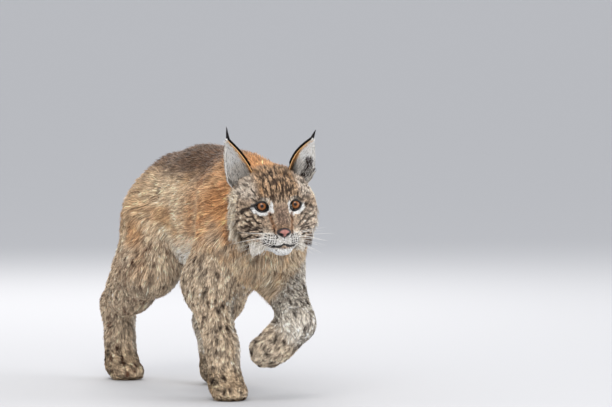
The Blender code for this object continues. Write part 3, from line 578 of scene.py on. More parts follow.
def head_marks(points):
    """Colours of the head, as light; most marks are the same on both sides of the middle."""
    place = raised(in_head(points))
    x, y, z = place.T
    wide = np.abs(x)
    uneven = place + 0.0034 * np.stack([mottle(place, 0.0075, k) - 0.5 for k in (31, 32, 33)], axis=1)
    uneven = uneven + 0.0018 * np.stack([mottle(place, 0.0032, k) - 0.5 for k in (34, 35, 36)], axis=1)
    a = np.abs(uneven[:, 0])
    b = uneven[:, 2]
    cloud = mottle(place, 0.018, 22)
    # Areas of even colour
    brow = ramp(0.008, 0.035, z)
    temple = ramp(0.034, 0.052, wide) * ramp(0.006, 0.022, z) * ramp(0.088, 0.074, y)
    bridge = ramp(0.016, 0.009, wide) * ramp(0.012, -0.004, z) * ramp(0.03, 0.015, y)
    cheek_side = ramp(0.034, 0.055, wide) * ramp(0.0, -0.012, z)
    outer = ramp(0.020, 0.045, y) * ramp(0.070, 0.084, wide) * ramp(0.070, 0.040, np.abs(z + 0.03))
    pad = oval(a, b, (17, -54), (25, 15), 0.4) * ramp(0.014, -0.006, y)
    chin = ramp(-0.068, -0.076, z) * ramp(0.036, 0.026, wide) * ramp(0.03, 0.0, y)
    jaw = oval(a, b, (44, -84), (19, 17), 0.5) * ramp(0.075, 0.05, y)
    under_eye = round_eyes(uneven[:, 0], b, (19.5, 14.8), 0.12, 2.5, 3.0) * ramp(0.012, 0.004, y)
    inner_white = oval(a, b, (18.5, 1.5), (4.2, 11.0), 0.3)
    nose_side = stroke(a, b, ((23, -12), (21, -20), (18, -30), (17, -40)), 3.4, 0.004)
    # Dark lines, forehead flecks, ticks on the cheeks, lid rims, ruff, mouth and whisker spots
    dark = np.zeros(len(points))
    for route, half_width in face_lines:
        dark = np.maximum(dark, stroke(a, b, route, half_width))
    broken = ramp(0.26, 0.46, mottle(place * np.array((1.6, 1.0, 1.6)), 0.0068, 37))
    dark = dark * (0.25 + 0.75 * broken) * ramp(0.080, 0.060, y) * np.where(x > 0, 0.85, 1.0)
    flecks = ramp(0.50, 0.60, mottle(place * np.array((3.84, 1.0, 1.0)), 0.0095, 25))
    flecks = flecks * ramp(0.008, 0.020, z) * ramp(0.044, 0.026, wide) * ramp(0.095, 0.07, y)
    ticks = ramp(0.50, 0.66, mottle(place * np.array((1.0, 0.6, 1.8)), 0.0062, 26))
    ticks = ticks * ramp(0.026, 0.045, wide) * (1 - chin) * (1 - pad) * (1 - jaw) * (1 - under_eye)
    rim = round_eyes(x, z, (13.6, 12.2), 0.08) * ramp(0.020, 0.008, y)
    ruff_black = oval(a, b, (62, -78), (9, 8), 0.5) * ramp(0.02, 0.035, y)
    ruff_black = np.maximum(ruff_black, 0.8 * oval(a, b, (76, -60), (4, 11), 0.6) * ramp(0.02, 0.04, y))
    mouth = stroke(a, b, ((0, -64), (10, -67), (20, -68), (28, -66), (34, -63)), 1.5, 0.0012)
    mouth = np.maximum(mouth, oval(a, b, (26, -67.5), (10.0, 3.6), 0.4)) * ramp(0.02, -0.005, y)
    lip_spots = spotted(place * np.array((1, 0.3, 1.0)), 0.0075, 0.33, 41) * ramp(-0.066, -0.069, z)
    lip_spots = lip_spots * ramp(-0.080, -0.076, z) * ramp(0.020, 0.014, wide) * ramp(0.0, -0.02, y)
    dots = np.zeros(len(points))
    for row, height in enumerate((-45.0, -50.0, -55.5, -60.5)):
        for column in range(5):
            centre = (15.5 + 4.6 * column + 0.6 * row, height + 0.35 * column)
            dots = np.maximum(dots, oval(wide, z, centre, (1.5, 1.8), 0.30))
    colour = painted((170, 148, 126), (
        (0.75 * brow, (164, 132, 100)),
        (0.50 * brow * ramp(0.45, 0.75, cloud), (190, 142, 92)),
        (0.80 * temple, (196, 184, 170)),
        (0.85 * bridge, (124, 102, 88)),
        (0.60 * bridge * ramp(-0.020, -0.032, z), (150, 120, 90)),
        (0.75 * cheek_side, (202, 180, 156)),
        (0.45 * cheek_side * (x > 0), (226, 208, 190)),
        (0.85 * outer, (226, 208, 182)),
        (0.85 * ramp(0.074, 0.100, y), (184, 124, 68)),
        (0.95 * pad, (232, 227, 220)),
        (chin, (240, 238, 234)),
        (0.90 * jaw, (228, 224, 216)),
        (0.45 * oval(a, b, (33, -40), (10, 9), 0.6), (206, 194, 178)),
        (0.98 * under_eye * ramp(0.010, 0.001, z), (246, 243, 238)),
        (0.98 * inner_white, (242, 238, 232)),
        (0.70 * oval(a, b, (30, 15.5), (10, 4.5), 0.4), (208, 198, 184)),
        (0.85 * nose_side, (122, 84, 56)),
        (0.95 * dark, (34, 24, 20)),
        (0.86 * flecks, (48, 34, 26)),
        (0.60 * ticks, (70, 55, 45)),
        (rim, (16, 12, 11)),
        (0.85 * ruff_black, (42, 34, 31)),
        (mouth, (28, 21, 20)),
        (0.85 * lip_spots, (62, 44, 38)),
        (0.95 * dots * ramp(0.010, -0.004, y), (26, 20, 19)),
    ))
    plain = np.clip(chin + pad + under_eye + inner_white, 0, 1)
    grain = 0.58 + 0.84 * ramp(0.15, 0.85, mottle(place * np.array((1.3, 0.7, 1.0)), 0.0031, 23))
    return colour * (grain * (1 - 0.7 * plain) + 0.7 * plain)[:, None]


def coat_colours(points, shares, normals):
    """Colours of the coat, the head's blended into the body's over the neck."""
    body = body_marks(points, shares, normals)
    on_head = shares[:, 0] > 0.02
    if on_head.any():
        weight = ramp(0.05, 0.75, shares[on_head, 0])[:, None]
        body[on_head] = body[on_head] * (1 - weight) + head_marks(points[on_head]) * weight
    return np.clip(body, 0.002, 1.0)


def write_colours(mesh, colours):
    """Stores a colour at every point of the mesh, for its material to read."""
    layer = mesh.color_attributes.new("coat_colour", "FLOAT_COLOR", "POINT")
    full = np.ones((len(colours), 4), dtype=np.float32)
    full[:, :3] = colours
    layer.data.foreach_set("color", full.ravel())


def coat_material(name, roughness, grain):
    """Hair or skin: its own colours, with fine grain that breaks the gloss."""
    material, tree, shader = plain_shader(name, roughness, 0.22)
    dye = tree.nodes.new("ShaderNodeAttribute")
    dye.attribute_name = "coat_colour"
    noise = texture(tree, "ShaderNodeTexNoise", grain)
    noise.inputs["Detail"].default_value = 2.0
    level = tree.nodes.new("ShaderNodeMapRange")
    level.inputs["To Min"].default_value = 0.78
    level.inputs["To Max"].default_value = 1.22
    tree.links.new(noise.outputs["Fac"], level.inputs["Value"])
    shade = tree.nodes.new("ShaderNodeVectorMath")
    shade.operation = "SCALE"
    tree.links.new(dye.outputs["Color"], shade.inputs[0])
    tree.links.new(level.outputs["Result"], shade.inputs["Scale"])
    tree.links.new(shade.outputs["Vector"], shader.inputs["Base Color"])
    add_bump(tree, shader, noise.outputs["Fac"], 0.35, 0.0006)
    return material


skin_material = coat_material("undercoat", 0.85, 900.0)
hair_material = coat_material("winter_hair", 0.62, 500.0)
hide_colours = coat_colours(outline, share, facing)
# Painted shade: the skin under the hair is darkened, as the coat over it shades it
skin_painted_shade = 0.62
write_colours(hide.data, hide_colours * skin_painted_shade)
hide.data.materials.clear()
hide.data.materials.append(skin_material)
hide.data.shade_smooth()
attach(hide, "root")
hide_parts(*limbs)

# Coat
# Hundreds of thousands of flat, tapered blades of hair, rooted in the hide and combed along
# the lie of the coat. They leave the skin steeply, bend over, and gather into small tufts.
chance = np.random.default_rng(11)
triangles = hide.data.loop_triangles
hide.data.calc_loop_triangles()
tri_vertices = read(triangles, "vertices", 3, np.int32)
tri_loops = read(triangles, "loops", 3, np.int32)
hide_uv = read(hide.data.uv_layers["OFBake"].uv, "vector", 2)
edge_a = skin_at[tri_vertices[:, 1]] - skin_at[tri_vertices[:, 0]]
edge_b = skin_at[tri_vertices[:, 2]] - skin_at[tri_vertices[:, 0]]
tri_area = np.linalg.norm(np.cross(edge_a, edge_b), axis=1) / 2
tri_local = local[tri_vertices].mean(axis=1)
tri_owner = owner[tri_vertices[:, 0]]
# The four levels of a blade: rise above the hide as a share of its length, pull to the leader of
# its tuft, and width of the lower three. The patch is half of a blade's size on the map.
blade_rise = np.array([-0.01, 0.20, 0.31, 0.345])
blade_gather = (0.0, 0.35, 0.75, 1.0)
blade_taper = np.array([0.85, 1.0, 0.72])
patch = 0.0015


def blade_template(segments):
    """Corners of a flat blade that ends in a point: its faces, and each corner's level and side."""
    template = bmesh.new()
    bmesh.ops.create_grid(template, x_segments=1, y_segments=segments, size=1.0)
    top = [vertex for vertex in template.verts if vertex.co.y > 0.9]
    bmesh.ops.pointmerge(template, verts=top, merge_co=(0, 1, 0))
    template.verts.index_update()
    faces = [[vertex.index for vertex in face.verts] for face in template.faces]
    level = np.array([round((v.co.y + 1) * segments / 2) for v in template.verts])
    side_of = np.array([np.sign(v.co.x) for v in template.verts])
    template.free()
    return faces, level, side_of


def blades(name, levels, across, widths, colours, root_uv):
    """Joined blades; levels are rows of points and colours, across is their flat side."""
    count = len(across)
    blade_corners, blade_level, blade_side = blade_template(len(levels) - 1)
    size = len(blade_level)
    taper = np.append(blade_taper[:len(levels) - 1], 0.0)
    places = np.empty((count, size, 3))
    dyes = np.empty((count, size, 3))
    for corner in range(size):
        level = blade_level[corner]
        shift = blade_side[corner] * taper[level] * widths / 2
        places[:, corner] = levels[level] + across * shift[:, None]
        dyes[:, corner] = colours[level]
    faces = [np.array(face) for face in blade_corners]
    loops = np.concatenate(faces)
    starts = np.cumsum([0] + [len(face) for face in faces[:-1]])
    base = np.arange(count)[:, None]
    all_loops = (base * size + loops).ravel()
    all_starts = (base * len(loops) + starts).ravel()
    mesh = bpy.data.meshes.new(name)
    mesh.vertices.add(count * size)
    mesh.loops.add(len(all_loops))
    mesh.polygons.add(len(all_starts))
    mesh.vertices.foreach_set("co", places.astype(np.float32).ravel())
    mesh.loops.foreach_set("vertex_index", all_loops.astype(np.int32))
    mesh.polygons.foreach_set("loop_start", all_starts.astype(np.int32))
    mesh.update(calc_edges=True)
    layer = mesh.uv_layers.new(name="OFBake")
    along_patch = 2 * blade_level[loops] / (len(levels) - 1) - 1
    spread = np.stack([blade_side[loops] * patch, along_patch * patch], axis=1)
    where = root_uv[:, None, :] + spread[None, :, :]
    layer.uv.foreach_set("vector", where.astype(np.float32).ravel())
    write_colours(mesh, dyes.reshape(-1, 3))
    mesh.shade_smooth()
    mesh.materials.append(hair_material)
    piece = placed(mesh, name)
    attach(piece, "root")


nose_height = -0.0395
hairless_nose = (0.0132, 0.0088)
hairless_lids = (0.0122, 0.0110)


def bare_skin(places):
    """True at the lids and the nose, where no hair grows; places are in the head's own frame.

    The bare nose narrows downwards; each lid is an oval a little larger than the skin's opening.
    """
    places = raised(places)
    narrowing = 1 - 0.45 * fade(nose_height, nose_height - 0.0098, places[:, 2])
    across = places[:, 0] / (hairless_nose[0] * narrowing)
    bare = np.hypot(across, (places[:, 2] - nose_height) / hairless_nose[1]) < 1
    bare &= places[:, 1] < -0.02
    for centre in opening_centre.values():
        at_eye = places - np.array(centre)
        reach = np.hypot(at_eye[:, 0] / hairless_lids[0], at_eye[:, 2] / hairless_lids[1])
        bare |= (reach < 1) & (at_eye[:, 1] < 0.008)
    return bare


def nearest_of(points, centres):
    """Index of the nearest centre of each point."""
    tree = BVHTree.FromPolygons(
        np.concatenate([centres, centres + (1e-5, 0, 0), centres + (0, 1e-5, 0)]).tolist(),
        [(i, i + len(centres), i + 2 * len(centres)) for i in range(len(centres))],
    )
    return np.array([tree.find_nearest(Vector(p))[2] for p in points])


def grow_coat(
    name, chosen, density, width, gather=14, wander=0.16, clump=0.55, rise=1.0, crisp=False, short=False
):
    """Covers the chosen triangles of the hide with so many blades a square centimetre.

    About gather blades lean to one leader by the share clump; wander is the spread of their turn,
    rise scales how steeply they stand, crisp keeps marks sharp, and short leaves one level out.
    """
    weight = tri_area * chosen * density
    count = int(weight.sum() * 10000)
    picked = chance.choice(len(tri_area), size=count, p=weight / weight.sum())
    first = chance.random(count)
    second = chance.random(count)
    over = first + second > 1
    first[over] = 1 - first[over]
    second[over] = 1 - second[over]
    mix = np.stack([1 - first - second, first, second], axis=1)
    ring = tri_vertices[picked]

    def spread(values):
        return (values[ring] * mix[:, :, None]).sum(axis=1)

    root = spread(skin_at)
    normal = spread(skin_facing)
    size = spread(length[:, None])[:, 0]
    uv = (hide_uv[tri_loops[picked]] * mix[:, :, None]).sum(axis=1)
    shares = spread(share)
    leaders = chance.choice(count, size=max(count // gather, 1), replace=False)
    follows = nearest_of(root, root[leaders])
    lead = root[leaders][follows] - root
    longest_lean = 0.012
    lead[np.linalg.norm(lead, axis=1) >= longest_lean] = 0
    angle = (chance.normal(0, wander, len(leaders)))[follows] + chance.normal(0, wander * 0.6, count)
    swell = (1 + chance.normal(0, 0.10, len(leaders)))[follows] * (1 + chance.normal(0, 0.10, count))
    lift = rise * np.clip(1 + chance.normal(0, 0.22, count), 0.5, 1.6)
    kept = ~bare_skin(in_head(root))
    levels = []
    root_depth = 0.0006
    for number in range(4):
        if number == 0:
            point = root - normal * root_depth
        else:
            step = spread(steps[number - 1])
            turned = np.cos(angle)[:, None] * step + np.sin(angle)[:, None] * np.cross(normal, step)
            up = spread(path_facing[number])
            point = root + turned * swell[:, None] + up * (size * blade_rise[number] * lift)[:, None]
            point = point + lead * (clump * blade_gather[number])
        levels.append(point)
    along = levels[2] - levels[0]
    along /= np.linalg.norm(along, axis=1)[:, None] + 1e-9
    flat = np.cross(along, normal)
    flat /= np.linalg.norm(flat, axis=1)[:, None] + 1e-9
    roll = chance.normal(0, 0.5, count)
    flat = np.cos(roll)[:, None] * flat + np.sin(roll)[:, None] * normal
    levels = [np.stack([p[:, 0], p[:, 1], np.maximum(p[:, 2], 0.0008)], axis=1) for p in levels]
    middle = coat_colours(levels[1] + normal * 0.001, shares, normal)
    tip = coat_colours(levels[3], shares, normal)
    beyond = coat_colours(levels[2], shares, normal) if crisp else (middle + tip) / 2
    glow = np.exp(chance.normal(0, 0.24, len(leaders))[follows] + chance.normal(0, 0.18, count))[:, None]
    # About a fifth of the tips are dark and three tenths pale
    end = chance.random(count)
    tip_glow = np.where(end < 0.18, 0.35, np.where(end > 0.70, 1.65, 1.06))[:, None]
    # Painted shade: each blade is darkened towards its root, where the coat shades it, and made a little
    # lighter towards its tip, as are the tips that are neither dark nor pale
    colours = [middle * 0.50, middle * 0.90 * glow, beyond * 1.04 * glow, tip * glow * tip_glow]
    colours = [np.clip(c, 0.002, 0.95) for c in colours]
    widths = width * (0.8 + 0.4 * chance.random(count))
    used = (0, 2, 3) if short else (0, 1, 2, 3)
    levels = [levels[row][kept] for row in used]
    colours = [colours[row][kept] for row in used]
    blades(name, levels, flat[kept], widths[kept], colours, uv[kept])


is_head = tri_owner == 0
cheek_tri = cheek[tri_vertices].mean(axis=1)
tri_x = outline[tri_vertices[:, 0], 0]
tri_y = outline[tri_vertices[:, 0], 1]
face = is_head & (tri_local[:, 1] < 0.035) & (cheek_tri < 0.5)
upper_face = face & (tri_local[:, 2] > -0.012)
grow_coat(
    "coat_brow", upper_face, 230.0, 0.00055, gather=9, wander=0.18, clump=0.35, crisp=True, short=True
)
grow_coat(
    "coat_muzzle", face & ~upper_face, 200.0, 0.00052, gather=9, wander=0.12, clump=0.25, crisp=True,
    short=True,
)
cheeks = is_head & (cheek_tri >= 0.5)
grow_coat("coat_cheeks", cheeks, 95.0, 0.0008, gather=16, wander=0.22, rise=1.2, crisp=True)
grow_coat("coat_crown", is_head & ~face & ~cheeks, 85.0, 0.0008, gather=12, rise=1.75, crisp=True)
grow_coat("coat_neck", tri_owner == 1, 42.0, 0.0011, gather=16, wander=0.2)
torso = tri_owner == 2
grow_coat("coat_flank_left", torso & (tri_x > 0) & (tri_y < 0.1), 29.0, 0.0013, gather=14, wander=0.2)
grow_coat("coat_flank_right", torso & (tri_x <= 0) & (tri_y < 0.1), 34.0, 0.0012, gather=14, wander=0.2)
grow_coat("coat_rump", torso & (tri_y >= 0.1), 28.0, 0.0013, gather=14, wander=0.2)
grow_coat("coat_tail", tri_owner == 3, 34.0, 0.0011, gather=12, wander=0.2)
leg_parts = (
    ("foreleg_right", (4, 5), 46.0), ("foreleg_left", (7, 8), 46.0),
    ("hindleg_right", (10, 11), 42.0), ("hindleg_left", (13, 14), 36.0), ("paws", (6, 9, 12, 15), 58.0),
)
for name, numbers, density in leg_parts:
    leg = np.isin(tri_owner, numbers)
    grow_coat("coat_" + name, leg, density, 0.0010, gather=12, clump=0.38, short=True)

# Ruff
# The long hair of the cheeks and jaw, gathered into pointed locks that hang down and back and
# frame the face: grey-buff with cream tips, black at the corner of the jaw, pale below it.
ruff_arc = np.array([
    (0.074, 0.074, 0.030), (0.080, 0.064, 0.008), (0.082, 0.054, -0.016), (0.082, 0.050, -0.038),
    (0.070, 0.040, -0.058), (0.058, 0.028, -0.068), (0.046, 0.010, -0.070), (0.036, -0.006, -0.070),
])
ruff_share = np.linspace(0, 1, len(ruff_arc))
hide_loop = read(hide.data.polygons, "loop_start", 1, np.int32)
locks_on_side = 44
hairs_in_lock = 60
hair_levels = (0.0, 0.34, 0.70, 1.0)
lock_pull = (0.0, 0.15, 0.40, 0.60)
# Painted shade: each hair of the ruff is darker towards its root, where the lock shades it
painted_root_shade = (0.55, 0.85, 1.0, 1.0)
ruff_rows = {"levels": [[], [], [], []], "colours": [[], [], [], []], "across": [], "uv": []}
for sign in (-1, 1):
    fullness = 1.0 if sign < 0 else 0.70
    for number in range(locks_on_side):
        t = np.clip((number + chance.random()) / locks_on_side, 0, 1)
        middle = np.array([np.interp(t, ruff_share, ruff_arc[:, k]) for k in range(3)])
        middle = middle + (0, 0.010 * chance.normal(), 0.004 * chance.normal())
        reach = fullness * np.interp(t, (0, 0.3, 0.6, 0.85, 1), (0.017, 0.021, 0.019, 0.015, 0.010))
        reach *= 1 + 0.12 * chance.normal()
        lean = np.array((0.55 * (1 - t) ** 0.5 + 0.10, 0.30 * (1 - t), -0.75 - 0.25 * t))
        lean = lean + 0.10 * chance.normal(size=3)
        lean[0] *= sign
        lean /= np.linalg.norm(lean)
        droop = np.array((0.0, 0.1, -0.45))
        root_dye = linear(168, 148, 124)
        tip_dye = linear(240, 228, 208)
        if 0.62 < t < 0.78:
            root_dye = linear(120, 100, 84)
            tip_dye = linear(34, 28, 26)
        elif t >= 0.78:
            root_dye = linear(196, 184, 168)
            tip_dye = linear(238, 232, 222) if sign < 0 else linear(222, 214, 202)
        middle[0] *= sign
        middle[2] -= face_drop * dropped(middle[None, :])[0]
        roots = middle + chance.normal(0, 0.0050, (hairs_in_lock, 3))
        for place in roots:
            aim = head_place @ Vector(place)
            spot_on, normal, face_number, _ = skin_tree.find_nearest(aim)
            start = to_head @ spot_on
            own = reach * (0.50 + 0.60 * chance.random())
            out_of_skin = np.array(head_matrix.inverted() @ normal)
            for level, along in enumerate(hair_levels):
                line = middle + lean * own * along + droop * own * along**2
                line = line + chance.normal(0, 0.0008 * (1.2 - along), 3)
                free = np.array(start) + lean * own * along + droop * own * along**2
                free = free + out_of_skin * 0.30 * own * math.sin(2.2 * along)
                gathered = lock_pull[level]
                point = head_place @ Vector(free * (1 - gathered) + line * gathered)
                ruff_rows["levels"][level].append(tuple(point))
                dye = root_dye + (tip_dye - root_dye) * along**1.2
                ruff_rows["colours"][level].append(dye * painted_root_shade[level])
            flat = np.cross(lean, out_of_skin)
            flat = flat / (np.linalg.norm(flat) + 1e-9) @ head_axes.T
            ruff_rows["across"].append(flat)
            ruff_rows["uv"].append(hide_uv[hide_loop[face_number]])
hair_count = len(ruff_rows["uv"])
ruff_glow = np.exp(chance.normal(0, 0.28, hair_count))[:, None]
ruff_width = 0.0009
blades(
    "coat_ruff", [np.array(rows) for rows in ruff_rows["levels"]], np.array(ruff_rows["across"]),
    np.full(hair_count, ruff_width),
    [np.clip(np.array(rows) * ruff_glow, 0.002, 0.95) for rows in ruff_rows["colours"]],
    np.array(ruff_rows["uv"]),
)

# Lids
# Black rims of bare skin round each eye, drawn to a point at both corners. Each rim is a ring
# swept over the eyeball and down to the hair.
lid_material, tree, shader = plain_shader("lid_skin", 0.42)
shader.inputs["Base Color"].default_value = (*linear(17, 13, 12), 1.0)
wrinkle = texture(tree, "ShaderNodeTexNoise", 700.0)
add_bump(tree, shader, wrinkle.outputs["Fac"], 0.3, 0.0003)
# Half width and half height of each row of the rim, and how far it stands off the eyeball
lid_rows = (
    (0.0097, 0.0086, 0.0002), (0.0102, 0.0091, 0.0016), (0.0112, 0.0101, 0.0026),
    (0.0122, 0.0111, 0.0028), (0.0136, 0.0125, 0.0016),
)
for side, centre in eye_centre.items():
    sign = 1 if side == "left" else -1
    lid_place = Matrix.Translation(centre) @ head_matrix.to_4x4()
    build = bmesh.new()
    ring = bmesh.ops.create_circle(build, segments=56, radius=1.0)["verts"]
    rows = [ring]
    for _ in lid_rows[1:]:
        rim_edges = [e for e in build.edges if e.verts[0] in rows[-1] and e.verts[1] in rows[-1]]
        swept = bmesh.ops.extrude_edge_only(build, edges=rim_edges)
        rows.append([item for item in swept["geom"] if isinstance(item, bmesh.types.BMVert)])
    shift = opening_centre[side] - to_head @ centre
    for row, (half_wide, half_high, proud) in zip(rows, lid_rows):
        for vertex in row:
            flat_length = math.hypot(vertex.co.x, vertex.co.y)
            c = vertex.co.x / flat_length
            s = vertex.co.y / flat_length
            outer_end = max(c * sign, 0.0) ** 8
            inner_end = max(-c * sign, 0.0) ** 8
            across = shift.x + c * half_wide + sign * (0.0016 * outer_end - 0.0014 * inner_end)
            up = shift.z + s * half_high * (0.92 if s > 0 else 1.0)
            up = up + 0.0010 * outer_end - 0.0012 * inner_end
            reach = math.hypot(across, up)
            ball = eye_radius + proud
            turned = 0.80 * ball
            depth = math.sqrt(ball**2 - min(reach, turned) ** 2) - 0.85 * max(reach - turned, 0.0)
            vertex.co = lid_place @ Vector((across, -depth, up))
    bmesh.ops.recalc_face_normals(build, faces=build.faces[:])
    forward = head_matrix @ Vector((0, -1, 0))
    if sum(face.normal.dot(forward) for face in build.faces) < 0:
        bmesh.ops.reverse_faces(build, faces=build.faces[:])
    lids = object_of(build, "lids_" + side)
    wall = lids.modifiers.new("Solidify", "SOLIDIFY")
    wall.thickness = 0.0005
    lids.data.materials.append(lid_material)
    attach(lids, "root")

# Nose leather
# The solid's own nose made smooth: pink-brown leather, black round the nostrils, with painted shade in
# the nostril openings, pebbled.
leather, tree, shader = plain_shader("nose_leather_pink", 0.46)
pebbles = texture(tree, "ShaderNodeTexVoronoi", 900.0)
add_bump(tree, shader, pebbles.outputs["Distance"], 0.25, 0.0004)
dye = tree.nodes.new("ShaderNodeAttribute")
dye.attribute_name = "coat_colour"
tree.links.new(dye.outputs["Color"], shader.inputs["Base Color"])
nose = copy_of(["nose"], "nose_pad")
rounder = nose.modifiers.new("Subdivision", "SUBSURF")
rounder.levels = 2
rounder.render_levels = 2
bpy.context.view_layer.update()
nose.data = bpy.data.meshes.new_from_object(nose.evaluated_get(bpy.context.evaluated_depsgraph_get()))
nose.modifiers.clear()
nose_at = read(nose.data.vertices, "co", 3).astype(float)
nose_local = in_head(nose_at)
nose_at = nose_at - face_drop * dropped(nose_local)[:, None] * head_up
nose_local -= np.array((0, -0.0465, nose_height))
nose_growth = 0.10
nose_at = nose_at + (nose_local * nose_growth + (0, -0.0008, 0)) @ head_axes.T
nose.data.vertices.foreach_set("co", nose_at.astype(np.float32).ravel())
edge = np.hypot(nose_local[:, 0] / 0.0140, (nose_local[:, 2] - 0.0005) / 0.0098)
blotch = mottle(nose_local, 0.003, 51)
pink = np.tile(linear(158, 104, 94), (len(nose_at), 1))
pink = tint(pink, ramp(0.35, 0.8, blotch) * 0.5, (128, 78, 72))
nose_side_x = np.abs(nose_local[:, 0])
# Painted shade: the nostrils are not cut into the solid, so their openings are painted near black
nostril = np.hypot((nose_side_x - 0.0085) / 0.0060, (nose_local[:, 2] + 0.0030) / 0.0046)
pink = tint(pink, ramp(1.20, 0.90, nostril), (14, 10, 10))
pink = tint(pink, 0.97 * ramp(0.56, 0.74, edge), (24, 18, 17))
low_side = ramp(-0.0010, -0.0030, nose_local[:, 2]) * ramp(0.0030, 0.0045, nose_side_x)
pink = tint(pink, np.maximum(low_side, ramp(-0.0050, -0.0068, nose_local[:, 2])), (24, 18, 18))
write_colours(nose.data, pink)
nose.data.shade_smooth()
nose.data.materials.clear()
nose.data.materials.append(leather)
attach(nose, "root")
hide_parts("nose")

# Lips
# The dark edge of the mouth and the groove below the nose, thin rolls laid along the muzzle.
half_mouth = (
    (0.0, -0.056, -0.0640), (0.010, -0.052, -0.0685), (0.020, -0.044, -0.0695),
    (0.0275, -0.032, -0.0680), (0.032, -0.020, -0.0650),
)
mouth_left = [head_place @ Vector(p) for p in half_mouth]
mouth_right = [head_place @ Vector((-x, y, z)) for x, y, z in half_mouth]
groove = [head_place @ Vector((0, -0.056, z)) for z in (-0.0490, -0.0560, -0.0630)]
outline_tree = BVHTree.FromPolygons(outline.tolist(), skin_faces)
rolls = (("lips", mouth_right[:0:-1] + mouth_left, 0.0017), ("philtrum", groove, 0.0010))
for name, route, thick in rolls:
    curve = bpy.data.curves.new(name, "CURVE")
    curve.dimensions = "3D"
    curve.bevel_depth = thick
    curve.bevel_resolution = 3
    curve.use_fill_caps = True
    spline = curve.splines.new("BEZIER")
    spline.bezier_points.add(len(route) - 1)
    for knot, place in zip(spline.bezier_points, route):
        spot_on, spot_normal, _, _ = outline_tree.find_nearest(place - Vector(face_drop * head_up))
        knot.co = spot_on - spot_normal * 0.0012
        knot.handle_left_type = "AUTO"
        knot.handle_right_type = "AUTO"
    drawn = placed(curve, name + "_line")
    bpy.context.view_layer.update()
    graph = bpy.context.evaluated_depsgraph_get()
    mesh = bpy.data.meshes.new_from_object(drawn.evaluated_get(graph))
    bpy.data.objects.remove(drawn)
    piece = placed(mesh, name)
    mesh.materials.clear()
    mesh.materials.append(lid_material)
    mesh.shade_smooth()
    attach(piece, "root")

# Ears
# Upright cups of thin skin, black behind, pale inside with a buff rim, long white hair from
# the inner edge, and a tuft of stiff black hair on each tip. The pale skin and white hair inside
# are lighter than their own colour, as painted light against the shade of the cup.
ear_rows = 26
ear_columns = 16
ear_foot = -0.10
ear_height = 1.08
ear_hair = {"levels": [[], [], [], []], "across": [], "widths": [], "colours": [[], [], [], []], "uv": []}


def back_dye(side, a, u):
    if u < 0.08:
        return linear(168, 122, 78)
    if a < 0.28 or u > 0.62 or a > 0.84:
        return linear(22, 18, 18)
    return linear(150, 140, 128)


def inside_dye_and_painted_light(side, a, u):
    if a < 0.05:
        return linear(234, 190, 134)
    patch_share = 0.85 if (0.58 < a < 0.96 and u < 0.50 and side == "left") else 0.06
    patch_share = max(patch_share, 0.25 if (0.30 < a < 0.95 and u < 0.25) else 0.0)
    # The white is partly painted light: lighter than the hair's own white, against the shade in the cup
    return linear(58, 44, 42) if chance.random() < patch_share else linear(246, 243, 238)


def ticked_dye(side, a, u):
    dark_share = 0.78 if (0.62 < a < 0.94 and side == "left") else 0.18
    return linear(52, 41, 38) if chance.random() < dark_share else linear(232, 226, 218)


def black_dye(side, a, u):
    return linear(18, 15, 15)


# Each set of hair: number, shares of the ear's width and height, way out, back and up, length,
# width of a blade, colour, lift off the skin, and 1 behind the ear or -1 inside it
hair_sets = (
    (5600, (0.0, 1.0), (-0.08, 0.95), (0.10, 0.1, 1.0), 0.0070, 0.0008, back_dye, 0.20, 1),
    (5200, (0.0, 1.0), (-0.06, 0.96), (0.35, -0.1, 1.0), 0.0085, 0.0007, inside_dye_and_painted_light, 0.25, -1),
    (1900, (0.02, 0.38), (-0.02, 0.84), (0.80, -0.35, 0.85), 0.021, 0.0007, inside_dye_and_painted_light, 0.30, -1),
    (1100, (0.60, 0.98), (0.00, 0.70), (-0.30, -0.5, 0.9), 0.014, 0.0007, inside_dye_and_painted_light, 0.28, -1),
    (2800, (0.04, 1.0), (-0.09, 0.24), (0.30, -0.45, 0.9), 0.022, 0.0008, ticked_dye, 0.50, -1),
    (1500, (0.0, 0.03), (0.22, 0.97), (-0.55, 0.15, 0.9), 0.0055, 0.0008, black_dye, 0.30, 1),
    (900, (0.96, 1.0), (0.0, 0.9), (0.45, 0.1, 0.9), 0.0050, 0.0007, ticked_dye, 0.25, 1),
)
